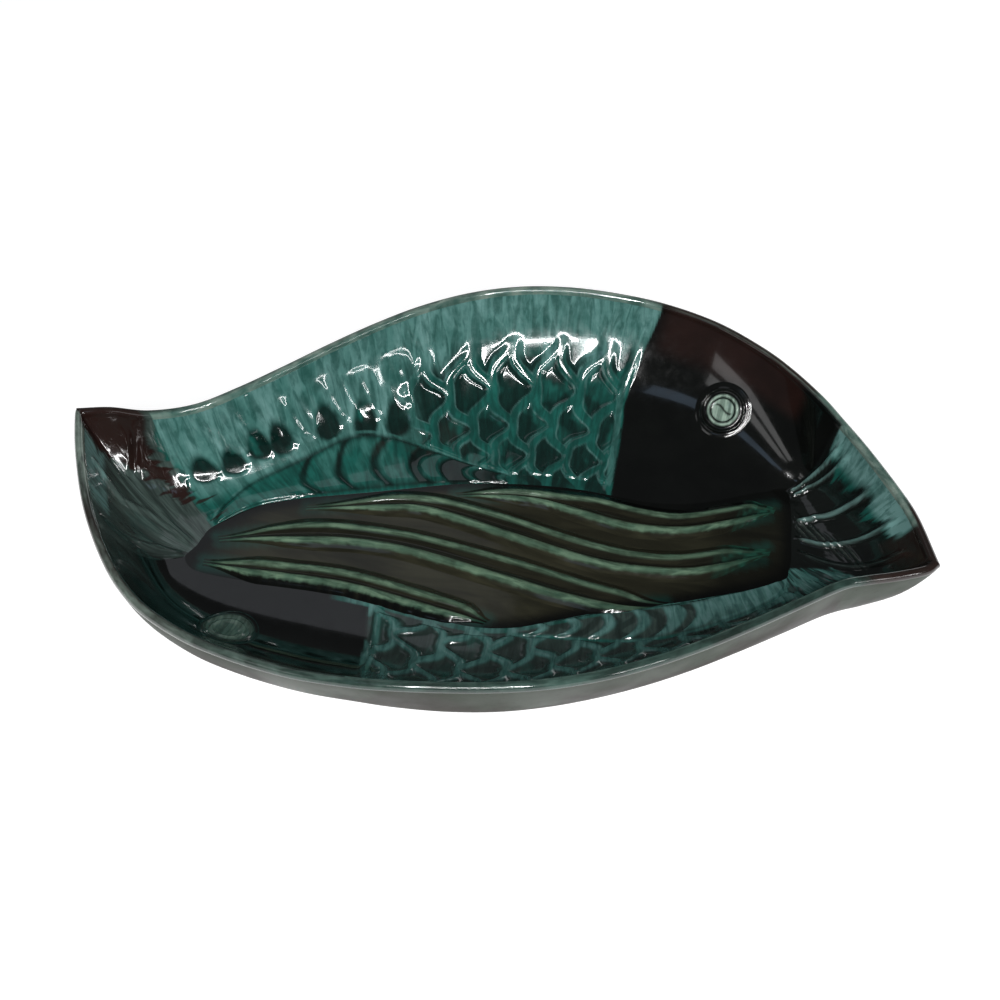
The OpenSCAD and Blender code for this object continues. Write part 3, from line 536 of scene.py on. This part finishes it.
def wall_piece(name, first, last, slot):
    """One zone of the wall: its outside, its inside and the plain faces between."""
    idx = zone_ring(first, last)
    inner = P_IN[idx]
    under = COVER[idx]
    inner[under] = (BASE[idx] - BASE_N[idx] * COVER_DROP)[under]
    verts = np.concatenate([P_OUT[idx], inner], 1)
    normals = np.concatenate([N_OUT[idx], N_IN[idx]], 1)
    n, m = verts.shape[:2]
    quads, ends = tube_faces(n, m)
    outside = np.zeros(P_OUT[idx].shape)
    flow_out = np.stack(np.broadcast_arrays(RR[idx][:, :1] * FLOW_ROW, -FLOW_OUTSIDE * (1 - t_out), 0.0), 2)
    masks = [np.concatenate(pair, 1) for pair in ((outside, MASK_A[idx]), (outside + [0, 0, 1], MASK_B[idx]),
                                                  (flow_out, FLOW[idx]))]
    mesh = piece(name, slot, verts, quads, masks, ends, normals=normals)
    satin_faces(mesh, np.arange((n - 1) * m).reshape(n - 1, m)[:, :COLS_OUT])


def patch_piece(name, slot, rows, cols):
    """A raised piece of the inside, between its first and last station and column, closed just under the wall."""
    at = np.ix_(rows, cols)
    low = BASE[at] - BASE_N[at] * PATCH_DROP
    verts = np.concatenate([P_IN[at], low[:, ::-1]], 1)
    normals = np.concatenate([N_IN[at], -BASE_N[at][:, ::-1]], 1)
    quads, ends = tube_faces(*verts.shape[:2])
    masks = [np.concatenate([grid[at], grid[at][:, ::-1]], 1) for grid in (MASK_A, MASK_B, FLOW)]
    piece(name, slot, verts, quads, masks, ends, normals=normals)


# Raised pieces on the wall: first and last station, first column and slot. The wall stays just below them
PATCHES = {"upper_belly_fin": (station_near(6.0), station_near(14.0), COLS_WALL, "teal_glaze"),
           "lower_belly_fin": (station_near(30.0), station_near(37.0), COLS_WALL, "teal_glaze"),
           "upper_gill_ridge": (station_near(16.2), station_near(17.0), 0, "fan_glaze"),
           "lower_gill_ridge": (station_near(39.5), station_near(40.0), 0, "fan_glaze")}
COVER = np.zeros((N, M), bool)
for first, last, column, slot in PATCHES.values():
    COVER[first + 1:last, column + 1:M - 1] = True

# Materials


def linear(r, g, b):
    return tuple(((c / 255 + 0.055) / 1.055) ** 2.4 if c > 10 else c / 255 / 12.92 for c in (r, g, b))


def shade(colour, k):
    return tuple(c * k for c in colour)


class Nodes:
    """Short ways to fill a node tree. Inputs are numbers, colours or the outputs of other nodes."""

    def __init__(self, tree):
        self.tree = tree

    def add(self, kind, inputs=(), **settings):
        node = self.tree.nodes.new(kind)
        for key, value in settings.items():
            setattr(node, key, value)
        for key, value in dict(inputs).items():
            if isinstance(value, bpy.types.NodeSocket):
                self.tree.links.new(value, node.inputs[key])
            else:
                node.inputs[key].default_value = value
        return node

    def layer(self, name, output="Vector"):
        return self.add("ShaderNodeAttribute", attribute_name=name).outputs[output]

    def split(self, name):
        return self.add("ShaderNodeSeparateColor", {0: self.layer(name, "Color")}).outputs

    def noise(self, vector, scale, detail, **more):
        inputs = {"Vector": vector, "Scale": scale, "Detail": detail, **more}
        return self.add("ShaderNodeTexNoise", inputs).outputs["Fac"]

    def stretch(self, vector, scale):
        return self.add("ShaderNodeMapping", {"Vector": vector, "Scale": scale}).outputs[0]

    def ramp(self, value, low, high, to_low=0.0, to_high=1.0):
        inputs = dict(enumerate((value, low, high, to_low, to_high)))
        return self.add("ShaderNodeMapRange", inputs, interpolation_type="SMOOTHSTEP").outputs[0]

    def maths(self, kind, *values):
        return self.add("ShaderNodeMath", dict(enumerate(values)), operation=kind).outputs[0]

    def gain(self, value, by, plus):
        return self.maths("ADD", self.maths("MULTIPLY", value, by), plus)

    def mix(self, a, b, factor):
        a, b = (c + (1.0,) if isinstance(c, tuple) else c for c in (a, b))
        return self.add("ShaderNodeMix", {0: factor, 6: a, 7: b}, data_type="RGBA").outputs[2]

    def bump(self, height, strength, distance):
        return self.add("ShaderNodeBump", {"Height": height, "Strength": strength, "Distance": distance}).outputs[0]

    def end(self, shader):
        self.add("ShaderNodeOutputMaterial", {"Surface": shader.outputs[0]})


def new_material(name):
    material = bpy.data.materials.new(name)
    material.use_nodes = True
    material.node_tree.nodes.clear()
    return material, Nodes(material.node_tree)


def glaze(name, deep, teal, pale, brown, fan, outside, coat=0.6, level=0.5):
    """Glossy glaze that pools in hollows and thins over edges. Masks place each colour, the pale one with some painted
    highlight, and noise breaks them up.
    """
    material, tree = new_material(name)
    teal_at, pale_and_highlight_at, brown_at = tree.split("glaze_a")
    fan_at, _, outside_at = tree.split("glaze_b")
    place = tree.add("ShaderNodeTexCoord").outputs["Object"]
    runs = tree.noise(tree.stretch(tree.layer("flow"), (0.42, 0.06, 0.0)), 1.0, 4.0, Roughness=0.52, Distortion=0.8)
    mottle = tree.noise(place, 210.0, 5.0, Roughness=0.6)
    run = tree.ramp(runs, 0.34, 0.68)
    fleck = tree.ramp(mottle, 0.35, 0.7)
    large = tree.ramp(tree.noise(place, 46.0, 4.0), 0.35, 0.65)

    def lay(base, colour, amount):
        return tree.mix(base, colour, tree.maths("MINIMUM", amount, 1.0))

    base = tree.mix(deep, shade(deep, 1.7), large)
    base = tree.mix(base, brown, tree.maths("MULTIPLY", brown_at, tree.gain(large, 0.4, 0.7)))
    base = tree.mix(base, tree.mix(shade(fan, 0.55), fan, run), fan_at)
    teal_mixed = tree.mix(shade(teal, 0.55), teal, tree.gain(run, 0.5, tree.gain(fleck, 0.25, 0.2)))
    base = lay(base, teal_mixed, tree.maths("MULTIPLY", teal_at, tree.gain(run, 0.35, 0.82)))
    base = lay(base, pale, tree.maths("MULTIPLY", pale_and_highlight_at, tree.gain(run, 0.65, tree.gain(fleck, 0.25, 0.25))))
    out_mixed = tree.mix(shade(outside, 0.6), outside, tree.gain(run, 0.6, tree.maths("MULTIPLY", fleck, 0.4)))
    base = tree.mix(base, out_mixed, outside_at)

    rough = 0.10
    normal = tree.bump(tree.noise(place, 60.0, 2.0), 0.04, 0.0008)
    tree.end(tree.add("ShaderNodeBsdfPrincipled", {
        "Base Color": base, "Roughness": tree.ramp(mottle, 0.3, 0.75, rough * 0.8, rough * 1.6), "IOR": 1.42,
        "Specular IOR Level": level, "Coat Weight": coat, "Coat Roughness": 0.04, "Coat IOR": 1.45,
        "Normal": normal, "Coat Normal": normal}))
    return material


def outside_glaze(name, low, high, drip, rough):
    """Satin glaze of the outside: grey-brown, with pale green runs below the lip."""
    material, tree = new_material(name)
    place = tree.add("ShaderNodeTexCoord").outputs["Object"]
    flow = tree.layer("flow")
    clouds = tree.noise(place, 26.0, 5.0)
    runs = tree.noise(tree.stretch(flow, (0.030, 0.035, 0.0)), 1.0, 4.0, Distortion=0.6)
    grain = tree.noise(place, 420.0, 3.0)
    below_lip = tree.maths("MULTIPLY_ADD", runs, -30.0, tree.add("ShaderNodeSeparateXYZ", {0: flow}).outputs[1])
    colour = tree.mix(low, high, tree.ramp(clouds, 0.32, 0.68))
    colour = tree.mix(colour, drip, tree.ramp(runs, 0.50, 0.66, 0.0, 0.6))
    colour = tree.mix(colour, drip, tree.ramp(below_lip, -66.0, -74.0, 0.0, 0.75))
    colour = tree.mix(colour, shade(low, 0.5), tree.ramp(grain, 0.55, 0.8, 0.0, 0.35))
    tree.end(tree.add("ShaderNodeBsdfPrincipled", {
        "Base Color": colour, "Roughness": tree.ramp(clouds, 0.3, 0.7, rough * 0.8, rough * 1.25), "IOR": 1.4,
        "Specular IOR Level": 0.16, "Normal": tree.bump(clouds, 0.3, 0.0006)}))
    return material


COLOURS = dict(deep=linear(7, 8, 7), teal=linear(32, 102, 92), pale=linear(116, 158, 154), brown=linear(40, 25, 22),
               fan=linear(76, 92, 87), outside=linear(90, 88, 80))
OLIVE = {**COLOURS, "fan": linear(54, 53, 40)}
MAT = {
    "teal_glaze": glaze("teal_glaze", **COLOURS),
    "black_glaze": glaze("black_glaze", **COLOURS),
    "fan_glaze": glaze("fan_glaze", **COLOURS),
    "lip_glaze": glaze("lip_glaze", **{**COLOURS, "pale": linear(134, 150, 140)}),
    "dark_glaze": glaze("dark_glaze", **OLIVE, coat=0.3, level=0.3),
    "sage_glaze": glaze("sage_glaze", **{**OLIVE, "pale": linear(112, 138, 114), "teal": linear(36, 80, 66)},
                        coat=0.3, level=0.3),
    "outside": outside_glaze("outside_glaze", linear(34, 31, 25), linear(46, 43, 35), linear(74, 84, 74), 0.45),
    "eye_glaze": glaze("eye_glaze", **{**COLOURS, "pale": linear(158, 180, 165), "teal": linear(62, 96, 84)}),
    "foot_glaze": outside_glaze("foot_glaze", linear(150, 138, 118), linear(172, 160, 140), linear(120, 116, 104),
                                0.75),
}

# Wall pieces
SLOT = {"tail": "fan_glaze", "body": "teal_glaze", "head": "black_glaze"}
for name, first, last in ZONES:
    wall_piece(name, *zone_at[name], SLOT[name.split("_")[1]])
for name, (first, last, column, slot) in PATCHES.items():
    patch_piece(name, slot, range(first, last + 1), range(column, M))

# Lip halves
for name, first, last in (("upper_rim", 0, zone_at["lower_tail"][0]), ("lower_rim", zone_at["lower_tail"][0], N)):
    idx = zone_ring(first, last)
    verts = P_LIP[idx]
    quads, ends = tube_faces(*verts.shape[:2])
    row, way = R[idx][:, None], theta[None] / np.pi
    ripple = 0.5 + rough_noise(row * 1.6, row * 0)
    a = LIP_MASKS[idx][:, None] * np.stack([ripple, ripple, np.ones_like(ripple)], 2)
    # The side towards the dish has the wall's own glaze
    to_wall = smooth((way - 0.52) / 0.25)[..., None]
    a = np.clip(a * (1 - to_wall) + MASK_A[idx][:, :1] * to_wall, 0, 1)
    b = MASK_B[idx][:, :1] * to_wall
    # Painted highlight: a pale line along the lip's inner side, by the upper head and the right tail
    inner_highlight_line = smooth(1 - np.abs(way - 0.66) / 0.09)
    inner_highlight_line = inner_highlight_line * np.interp(row, [16.9, 17.4, 21, 24.6, 25, 48], [0, 0.3, 0.75, 0.75, 0, 0])
    a[..., 1] = np.maximum(a[..., 1], inner_highlight_line)
    flow = np.stack(np.broadcast_arrays(row * 4, theta[None] * 8, 0.0), 2)
    piece(name, "lip_glaze", verts, quads, (a, b, flow), ends, normals=N_LIP[idx])

# Floor: a fine flat sheet inside the wall's foot, with the glaze's traces of the ribs
edge = P_IN[:, -1, :2]


def curve_through(points, n):
    points = np.array(points, float)
    seg = np.concatenate([[0], np.cumsum(np.linalg.norm(np.diff(points, axis=0), axis=1))])
    x = np.interp(np.linspace(0, seg[-1], n), seg, np.arange(len(points)))
    return spline(points, x)


RIB_POINTS = 150
RIB_LINES = {k: [curve_through(crest, RIB_POINTS) for crest in pair] for k, pair in RIBS.items()}


def nearest_sq(points, line):
    """Square of each point's distance to the nearest point of a line."""
    return ((points[:, None] - line[None]) ** 2).sum(2).min(1)


def inside(points, loop):
    x, y = points[:, 0], points[:, 1]
    hit = np.zeros(len(points), bool)
    for (x0, y0), (x1, y1) in zip(loop, np.roll(loop, -1, 0)):
        crosses = (y0 > y) != (y1 > y)
        hit ^= crosses & (x < (x1 - x0) * (y - y0) / (y1 - y0 + 1e-12) + x0)
    return hit


def floor_olive(x, y, from_edge):
    """How olive the floor is: most between the ribs, black towards the heads and the wall."""
    clouds = rough_noise(x / 30 + 9, y / 14 + 4, 2)
    first_rib = np.interp(x, RIB_LINES["rib_1"][0][:, 0], RIB_LINES["rib_1"][0][:, 1])
    below_head = 1 - smooth((y - first_rib + 1) / 4) * smooth((x - 5) / 25)
    olive = smooth((from_edge - 1) / 7) * (0.55 + 0.6 * clouds) * below_head
    return olive * smooth((x + 135) / 40) * (1 - 0.6 * smooth((x - 95) / 30))


step = 2.2
gx, gy = (np.arange(edge[:, k].min(), edge[:, k].max(), step) for k in (0, 1))
cloud = np.stack(np.meshgrid(gx, gy), 2).reshape(-1, 2)
thin = edge[::3]
cloud = cloud[inside(cloud, thin)]
cloud = cloud[nearest_sq(cloud, thin) > (step * 0.6) ** 2]
flat = [Vector(p) for p in np.concatenate([edge, cloud])]
out = delaunay_2d_cdt(flat, [], [list(range(N))], 1, 1e-5)
floor_xy = np.array([tuple(p) for p in out[0]])
floor_tris = np.array([f for f in out[2] if len(f) == 3])
n_floor = len(floor_xy)
verts = np.concatenate([np.insert(floor_xy, 2, level, 1) for level in (FLOOR_Z, FOOT_H)])
a, b, c = (floor_xy[floor_tris[:, k]] for k in range(3))
area = (b[:, 0] - a[:, 0]) * (c[:, 1] - a[:, 1]) - (b[:, 1] - a[:, 1]) * (c[:, 0] - a[:, 0])
floor_tris[area < 0] = floor_tris[area < 0][:, ::-1]
ring = np.arange(N)
walls = np.stack([ring, (ring + 1) % N, (ring + 1) % N + n_floor, ring + n_floor], 1)
normals = np.concatenate([np.tile(UP, (n_floor, 1)), np.tile(-UP, (n_floor, 1))])
x, y = floor_xy.T
rib_d = np.sqrt(np.minimum.reduce([nearest_sq(floor_xy, ln[::3]) for pair in RIB_LINES.values() for ln in pair]))
cloudy = rough_noise(x / 9 + 40, y / 5 + 40, 3)
mask = np.zeros((2 * n_floor, 3))
mask[:n_floor, 0] = 0.32 * smooth((5 - rib_d) / 4) * (0.3 + 0.7 * cloudy)
glaze_b = np.zeros_like(mask)
glaze_b[:n_floor, 0] = floor_olive(x, y, np.sqrt(nearest_sq(floor_xy, thin)))
glaze_b[n_floor:, 2] = 1
flow = np.concatenate([np.stack([y * 0.2, x * 0.35, y * 0], 1)] * 2)
mesh = piece("floor_slab", "dark_glaze", verts, walls, (mask, glaze_b, flow),
             tris=np.concatenate([floor_tris, floor_tris[:, ::-1] + n_floor]), normals=normals)
satin_faces(mesh, slice(-len(floor_tris), None))

# Ribs: two crests with a groove between, easing into the floor on both sides
ease = 6.2
RIB_COLS, RIB_SUNK = 37, 0.3
for name, (up_line, lo_line) in RIB_LINES.items():
    n = len(up_line)
    across_rib = unit(up_line - lo_line)
    half = np.linalg.norm(up_line - lo_line, axis=1) / 2
    middle = (up_line + lo_line) / 2
    s = np.linspace(0, 1, n)
    size = smooth(np.minimum(s / 0.22, (1 - s) / 0.12))
    tint = smooth(np.minimum(s / 0.10, (1 - s) / 0.10))
    u = np.linspace(-1, 1, RIB_COLS)
    grid = np.zeros((n, RIB_COLS, 3))
    reach = half + ease
    x = u[None] * reach[:, None]
    from_crest = np.abs(np.abs(x) - half[:, None])
    outer_side = np.abs(x) > half[:, None]
    rise = np.where(outer_side, np.cos(np.pi / 2 * np.clip(from_crest / ease, 0, 1)) ** 1.6,
                    1 - 0.55 * smooth(from_crest / np.maximum(half[:, None] * 0.9, 1e-6)))
    hz = RIB_Z * size[:, None] * rise
    grid[..., :2] = middle[:, None] + across_rib[:, None] * (x * (0.25 + 0.75 * size[:, None]))[..., None]
    grid[..., 2] = FLOOR_Z + hz
    nrm = unit(np.cross(np.gradient(grid, axis=0), np.gradient(grid, axis=1)))
    if nrm[..., 2].mean() < 0:
        nrm = -nrm
    nrm[:, 0] = nrm[:, -1] = UP
    under = grid[:, [-1, 0]].copy()
    under[..., 2] = FLOOR_Z - RIB_SUNK
    verts = np.concatenate([grid, under], 1)
    normals = np.concatenate([nrm, np.tile(-UP, (n, 2, 1))], 1)
    quads, ends = tube_faces(*verts.shape[:2], flip=True)
    feathers = rough_noise(s[:, None] * 90 + 3, x / 5 + 8)
    patchy = rough_noise(s[:, None] * 26 + 7, x / 9 + 3, 2)
    length = s[:, None] * np.ones_like(x)
    out_reach = np.where(x < 0, 2.7 + 1.4 * feathers, 1.9 + 0.8 * feathers)
    crest = np.where(outer_side, smooth((out_reach - from_crest) / 1.5), smooth((2.0 - from_crest) / 1.4))
    flank = smooth((ease - from_crest) / 4.0) * outer_side
    brush = smooth((length - 0.86) / 0.07) * (name in ("rib_1", "rib_2"))
    pale = crest * (0.55 + 0.45 * smooth((patchy - 0.3) / 0.4)) * (0.8 + 0.3 * feathers)
    pale = pale * tint[:, None] * (1 - 0.6 * brush)
    teal = np.clip(0.45 * crest + np.where(x < 0, 0.8, 0.4) * flank * feathers * smooth((3.4 - from_crest) / 3.0), 0, 1)
    teal = np.maximum(teal, brush * (0.25 + 0.8 * smooth((feathers - 0.38) / 0.25)))
    teal = np.maximum(teal, 0.35 * smooth((0.12 - length) / 0.1) * feathers)
    a, b, f = np.zeros((3,) + verts.shape)
    a[:, :RIB_COLS, 0], a[:, :RIB_COLS, 1] = teal, pale
    flat_x, flat_y = grid[..., 0].ravel(), grid[..., 1].ravel()
    rib_edge = np.sqrt(nearest_sq(np.stack([flat_x, flat_y], 1), thin[::2]))
    groove = np.where(outer_side, 1, 1 - 0.45 * smooth((from_crest - 0.8) / 1.0))
    b[:, :RIB_COLS, 0] = floor_olive(flat_x, flat_y, rib_edge).reshape(x.shape) * groove
    f[:, :RIB_COLS, 0], f[:, :RIB_COLS, 1] = x, s[:, None] * 180
    piece(name, "sage_glaze", verts, quads, (a, b, f), ends, normals=normals)

# Eyes: rings and a domed pupil pressed out of the head, easing into its slope
EYES = {"upper_eye": (18.65, 0.265, 1.0), "lower_eye": (43.6, 0.50, 0.55)}
EYE_REACH, EYE_SKIRT = 14.6, 1.2
FIT_REACH, FIT_DEPTH = 17, 12
profile_r = np.array([0, 2.0, 4.2, 5.2, 6.3, 7.3, 8.6, 9.8, 10.8, 11.8, 13.2, EYE_REACH])
profile_h = np.array([1.2, 1.1, 0.9, 0.8, 1.2, 1.9, 0.7, 0.5, 1.5, 0.7, 0.4, 0.0])
rad = np.concatenate([[0.02], np.linspace(0.4, EYE_REACH, 60)])
ang = np.linspace(0, 2 * np.pi, 120, endpoint=False)
x, y = rad[:, None] * np.cos(ang), rad[:, None] * np.sin(ang)
profile = spline(profile_h[:, None], np.interp(rad, profile_r, np.arange(len(profile_r))))[:, 0]


def cubic_terms(x, y):
    return np.stack([np.ones_like(x), x, y, x * x, x * y, y * y, x**3, x * x * y, x * y * y, y**3], -1)


for name, (row, share, height) in EYES.items():
    i = station_near(row)
    j = int(np.argmin(np.abs(T[i] - share)))
    centre, up = BASE[i, j], BASE_N[i, j]
    side = unit(np.cross(UP, up))
    fwd = np.cross(up, side)
    # The head's slope round the eye, as a cubic surface over the eye's own plane
    rel = BASE.reshape(-1, 3) - centre
    local = np.stack([rel @ side, rel @ fwd, rel @ up], 1)
    close = (np.hypot(local[:, 0], local[:, 1]) < FIT_REACH) & (np.abs(local[:, 2]) < FIT_DEPTH)
    lx, ly, lz = local[close].T
    fit = np.linalg.lstsq(cubic_terms(lx, ly), lz, rcond=None)[0]
    z = cubic_terms(x, y) @ fit + (profile * height - 0.12 * smooth((rad - 13.4) / 1.2))[:, None]
    P = centre + x[..., None] * side + y[..., None] * fwd + z[..., None] * up
    nrm = unit(np.cross(np.gradient(P, axis=0), np.roll(P, -1, 1) - np.roll(P, 1, 1)))
    if (nrm @ up).mean() < 0:
        nrm = -nrm
    verts = np.concatenate([P, P[-1:] - up * EYE_SKIRT])
    normals = np.concatenate([nrm, np.tile(-up, (1, len(ang), 1))])
    quads, ends = tube_faces(*verts.shape[:2], flip=True)
    patches = rough_noise(x / 2.5 + 20, y / 2.5 + 20, 3)
    ring_light = smooth(1 - np.abs(rad[:, None] - 7.3) / 1.2) * (0.8 + 0.5 * patches)
    a = np.zeros(verts.shape)
    if name == "upper_eye":
        disc = smooth((6.0 - rad[:, None]) / 0.8)
        slash = smooth(1 - np.abs(0.14 * x + 0.99 * y - 0.5 + 0.9 * np.sin((0.99 * x - 0.14 * y) / 1.8)) / 1.2)
        slash = slash * smooth((5.2 - rad[:, None]) / 1.0)
        a[:-1, :, 0] = np.clip(0.9 * disc * (1 - slash) + 0.55 * ring_light, 0, 1)
        a[:-1, :, 1] = 1.3 * ring_light + disc * (0.75 + 0.5 * patches) * (1 - 0.9 * slash)
    else:
        disc = smooth((13.0 - rad[:, None]) / 4.5)
        a[:-1, :, 0] = np.clip(0.75 * disc + 0.25 * ring_light, 0, 1)
        a[:-1, :, 1] = 0.30 * disc * (0.6 + 0.8 * patches) + 0.10 * ring_light
    piece(name, "fan_glaze", verts, quads, (a, np.zeros_like(a), verts), ends, normals=normals, material="eye_glaze")

# Foot ring with a rounded tread
closed = np.concatenate([FOOT[-1:], FOOT, FOOT[:2]])
line_xy = spline(closed, np.arange(0, len(FOOT), 0.1) + 1) * [HALF_LEN, HALF_WID]
tangent = unit(np.roll(line_xy, -1, 0) - np.roll(line_xy, 1, 0))
inward = np.stack([tangent[:, 1], -tangent[:, 0]], 1)
# Across the ring and up, in millimetres
section = np.array([[0, 4.0], [0.05, 2.6], [0.4, 1.1], [1.2, 0.25], [2.2, 0.0], [3.8, 0.0], [4.8, 0.25], [5.6, 1.1],
                    [5.95, 2.6], [6.0, 4.0]])
verts = np.concatenate([line_xy[:, None] + inward[:, None] * section[None, :, :1],
                        np.broadcast_to(section[None, :, 1:], (len(line_xy), len(section), 1))], 2)
n, m = verts.shape[:2]
quads = tube_faces(n + 1, m, flip=True)[0] % (n * m)
a, b = np.zeros((2,) + verts.shape)
b[..., 2] = 1
piece("foot_ring", "foot_glaze", verts, quads, (a, b, verts))

# Studio: pale floor, soft light, and the camera at the photo's angle
stage_mesh = bpy.data.meshes.new("ground")
GROUND = 9.0
stage_mesh.from_pydata([(x * GROUND, y * GROUND, 0) for x, y in ((-1, -1), (1, -1), (1, 1), (-1, 1))], [],
                       [(0, 1, 2, 3)])
ground = bpy.data.objects.new("ground", stage_mesh)
bpy.context.scene.collection.objects.link(ground)
ground_mat, tree = new_material("ground")
# The floor shows pale and even to the camera and in the glaze, and still takes the dish's shadow
ray = tree.add("ShaderNodeLightPath").outputs
seen = tree.maths("MAXIMUM", ray["Is Camera Ray"], ray["Is Glossy Ray"])
seen = tree.maths("MAXIMUM", seen, ray["Is Transmission Ray"])
matte = tree.add("ShaderNodeBsdfDiffuse", {"Color": (0.5, 0.5, 0.5, 1)})
glow = tree.add("ShaderNodeEmission", {"Color": (1, 1, 1, 1), "Strength": tree.maths("MULTIPLY", seen, 0.80)})
tree.end(tree.add("ShaderNodeAddShader", {0: matte.outputs[0], 1: glow.outputs[0]}))
stage_mesh.materials.append(ground_mat)

world = bpy.data.worlds.new("studio")
bpy.context.scene.world = world
world.use_nodes = True
background = world.node_tree.nodes["Background"]
background.inputs[0].default_value = (0.9, 0.97, 1.0, 1)
# The sky above the floor is pale to the camera alone, and dim in what the glaze mirrors
tree = Nodes(world.node_tree)
camera_ray = tree.add("ShaderNodeLightPath").outputs["Is Camera Ray"]
SKY_ADDED, SKY_MIRRORED = 0.85, 0.07
tree.tree.links.new(tree.maths("MULTIPLY_ADD", camera_ray, SKY_ADDED, SKY_MIRRORED), background.inputs[1])


LAMP_AIM, LAMP_DISTANCE = (0, 0, 0.02), 1.6


def towards(at, target):
    return (Vector(target) - Vector(at)).to_track_quat("-Z", "Y").to_euler()


def lamp(name, at, size, power, colour=(1, 1, 1)):
    data = bpy.data.lights.new(name, "AREA")
    data.shape = "RECTANGLE"
    data.size, data.size_y = size
    data.energy = power
    data.color = colour
    obj = bpy.data.objects.new(name, data)
    bpy.context.scene.collection.objects.link(obj)
    obj.location = at
    obj.rotation_euler = towards(at, LAMP_AIM)


def direction(azimuth, elevation):
    """A lamp's place, with its azimuth from +y towards +x, in degrees."""
    a, e = math.radians(azimuth), math.radians(elevation)
    flat = LAMP_DISTANCE * math.cos(e)
    return (flat * math.sin(a), flat * math.cos(a), LAMP_DISTANCE * math.sin(e))


def lamp_frame(name, azimuth, elevation, sides, ends):
    """Four strips of light as a frame. Its sides and its ends each have a distance from the middle, size and power."""
    at = np.array(direction(azimuth, elevation))
    right = unit(np.cross(at, UP))
    up = unit(np.cross(right, at))
    for part, way, (distance, size, power) in (("left", -right, sides), ("right", right, sides),
                                               ("top", up, ends), ("foot", -up, ends)):
        lamp(f"{name}_{part}", tuple(at + way * distance), size, power)


# A wide window behind the camera, as strips that the glaze mirrors as bright loops, and dim panels for the rest
lamp_frame("window", 163, 45, (0.28, (0.035, 0.535), 5.6), (0.25, (0.525, 0.035), 5.5))
lamp_frame("low", 123, 23, (0.10, (0.03, 0.28), 0.8), (0.125, (0.17, 0.03), 0.48))
lamp("ceiling", direction(-31, 50), (0.62, 0.42), 0.37, (0.88, 0.92, 1.0))
lamp("back", direction(25, 12), (1.4, 0.3), 2.5)
lamp("pane_side", direction(-112, 30), (0.2, 0.2), 0.12)
lamp("panel_blue", direction(-161, 60), (0.24, 0.2), 0.14, (0.55, 0.75, 1.0))
lamp("pane_low", direction(-143, 31), (0.5, 0.19), 0.42)
lamp("pane_high", direction(-143, 41), (0.5, 0.19), 0.42)

cam_data = bpy.data.cameras.new("camera")
cam_data.sensor_width = 36
cam_data.lens = 50.4
cam = bpy.data.objects.new("camera", cam_data)
bpy.context.scene.collection.objects.link(cam)
# Where the photo's camera stood, as found from the dish's outlines, and what it looked at
cam.location = (0.1043, -0.4120, 0.5334)
cam.rotation_euler = towards(cam.location, (0.0084, -0.0095, 0.049))
cam_data.clip_start = 0.01
bpy.context.scene.camera = cam
bpy.context.scene.view_settings.view_transform = "Standard"
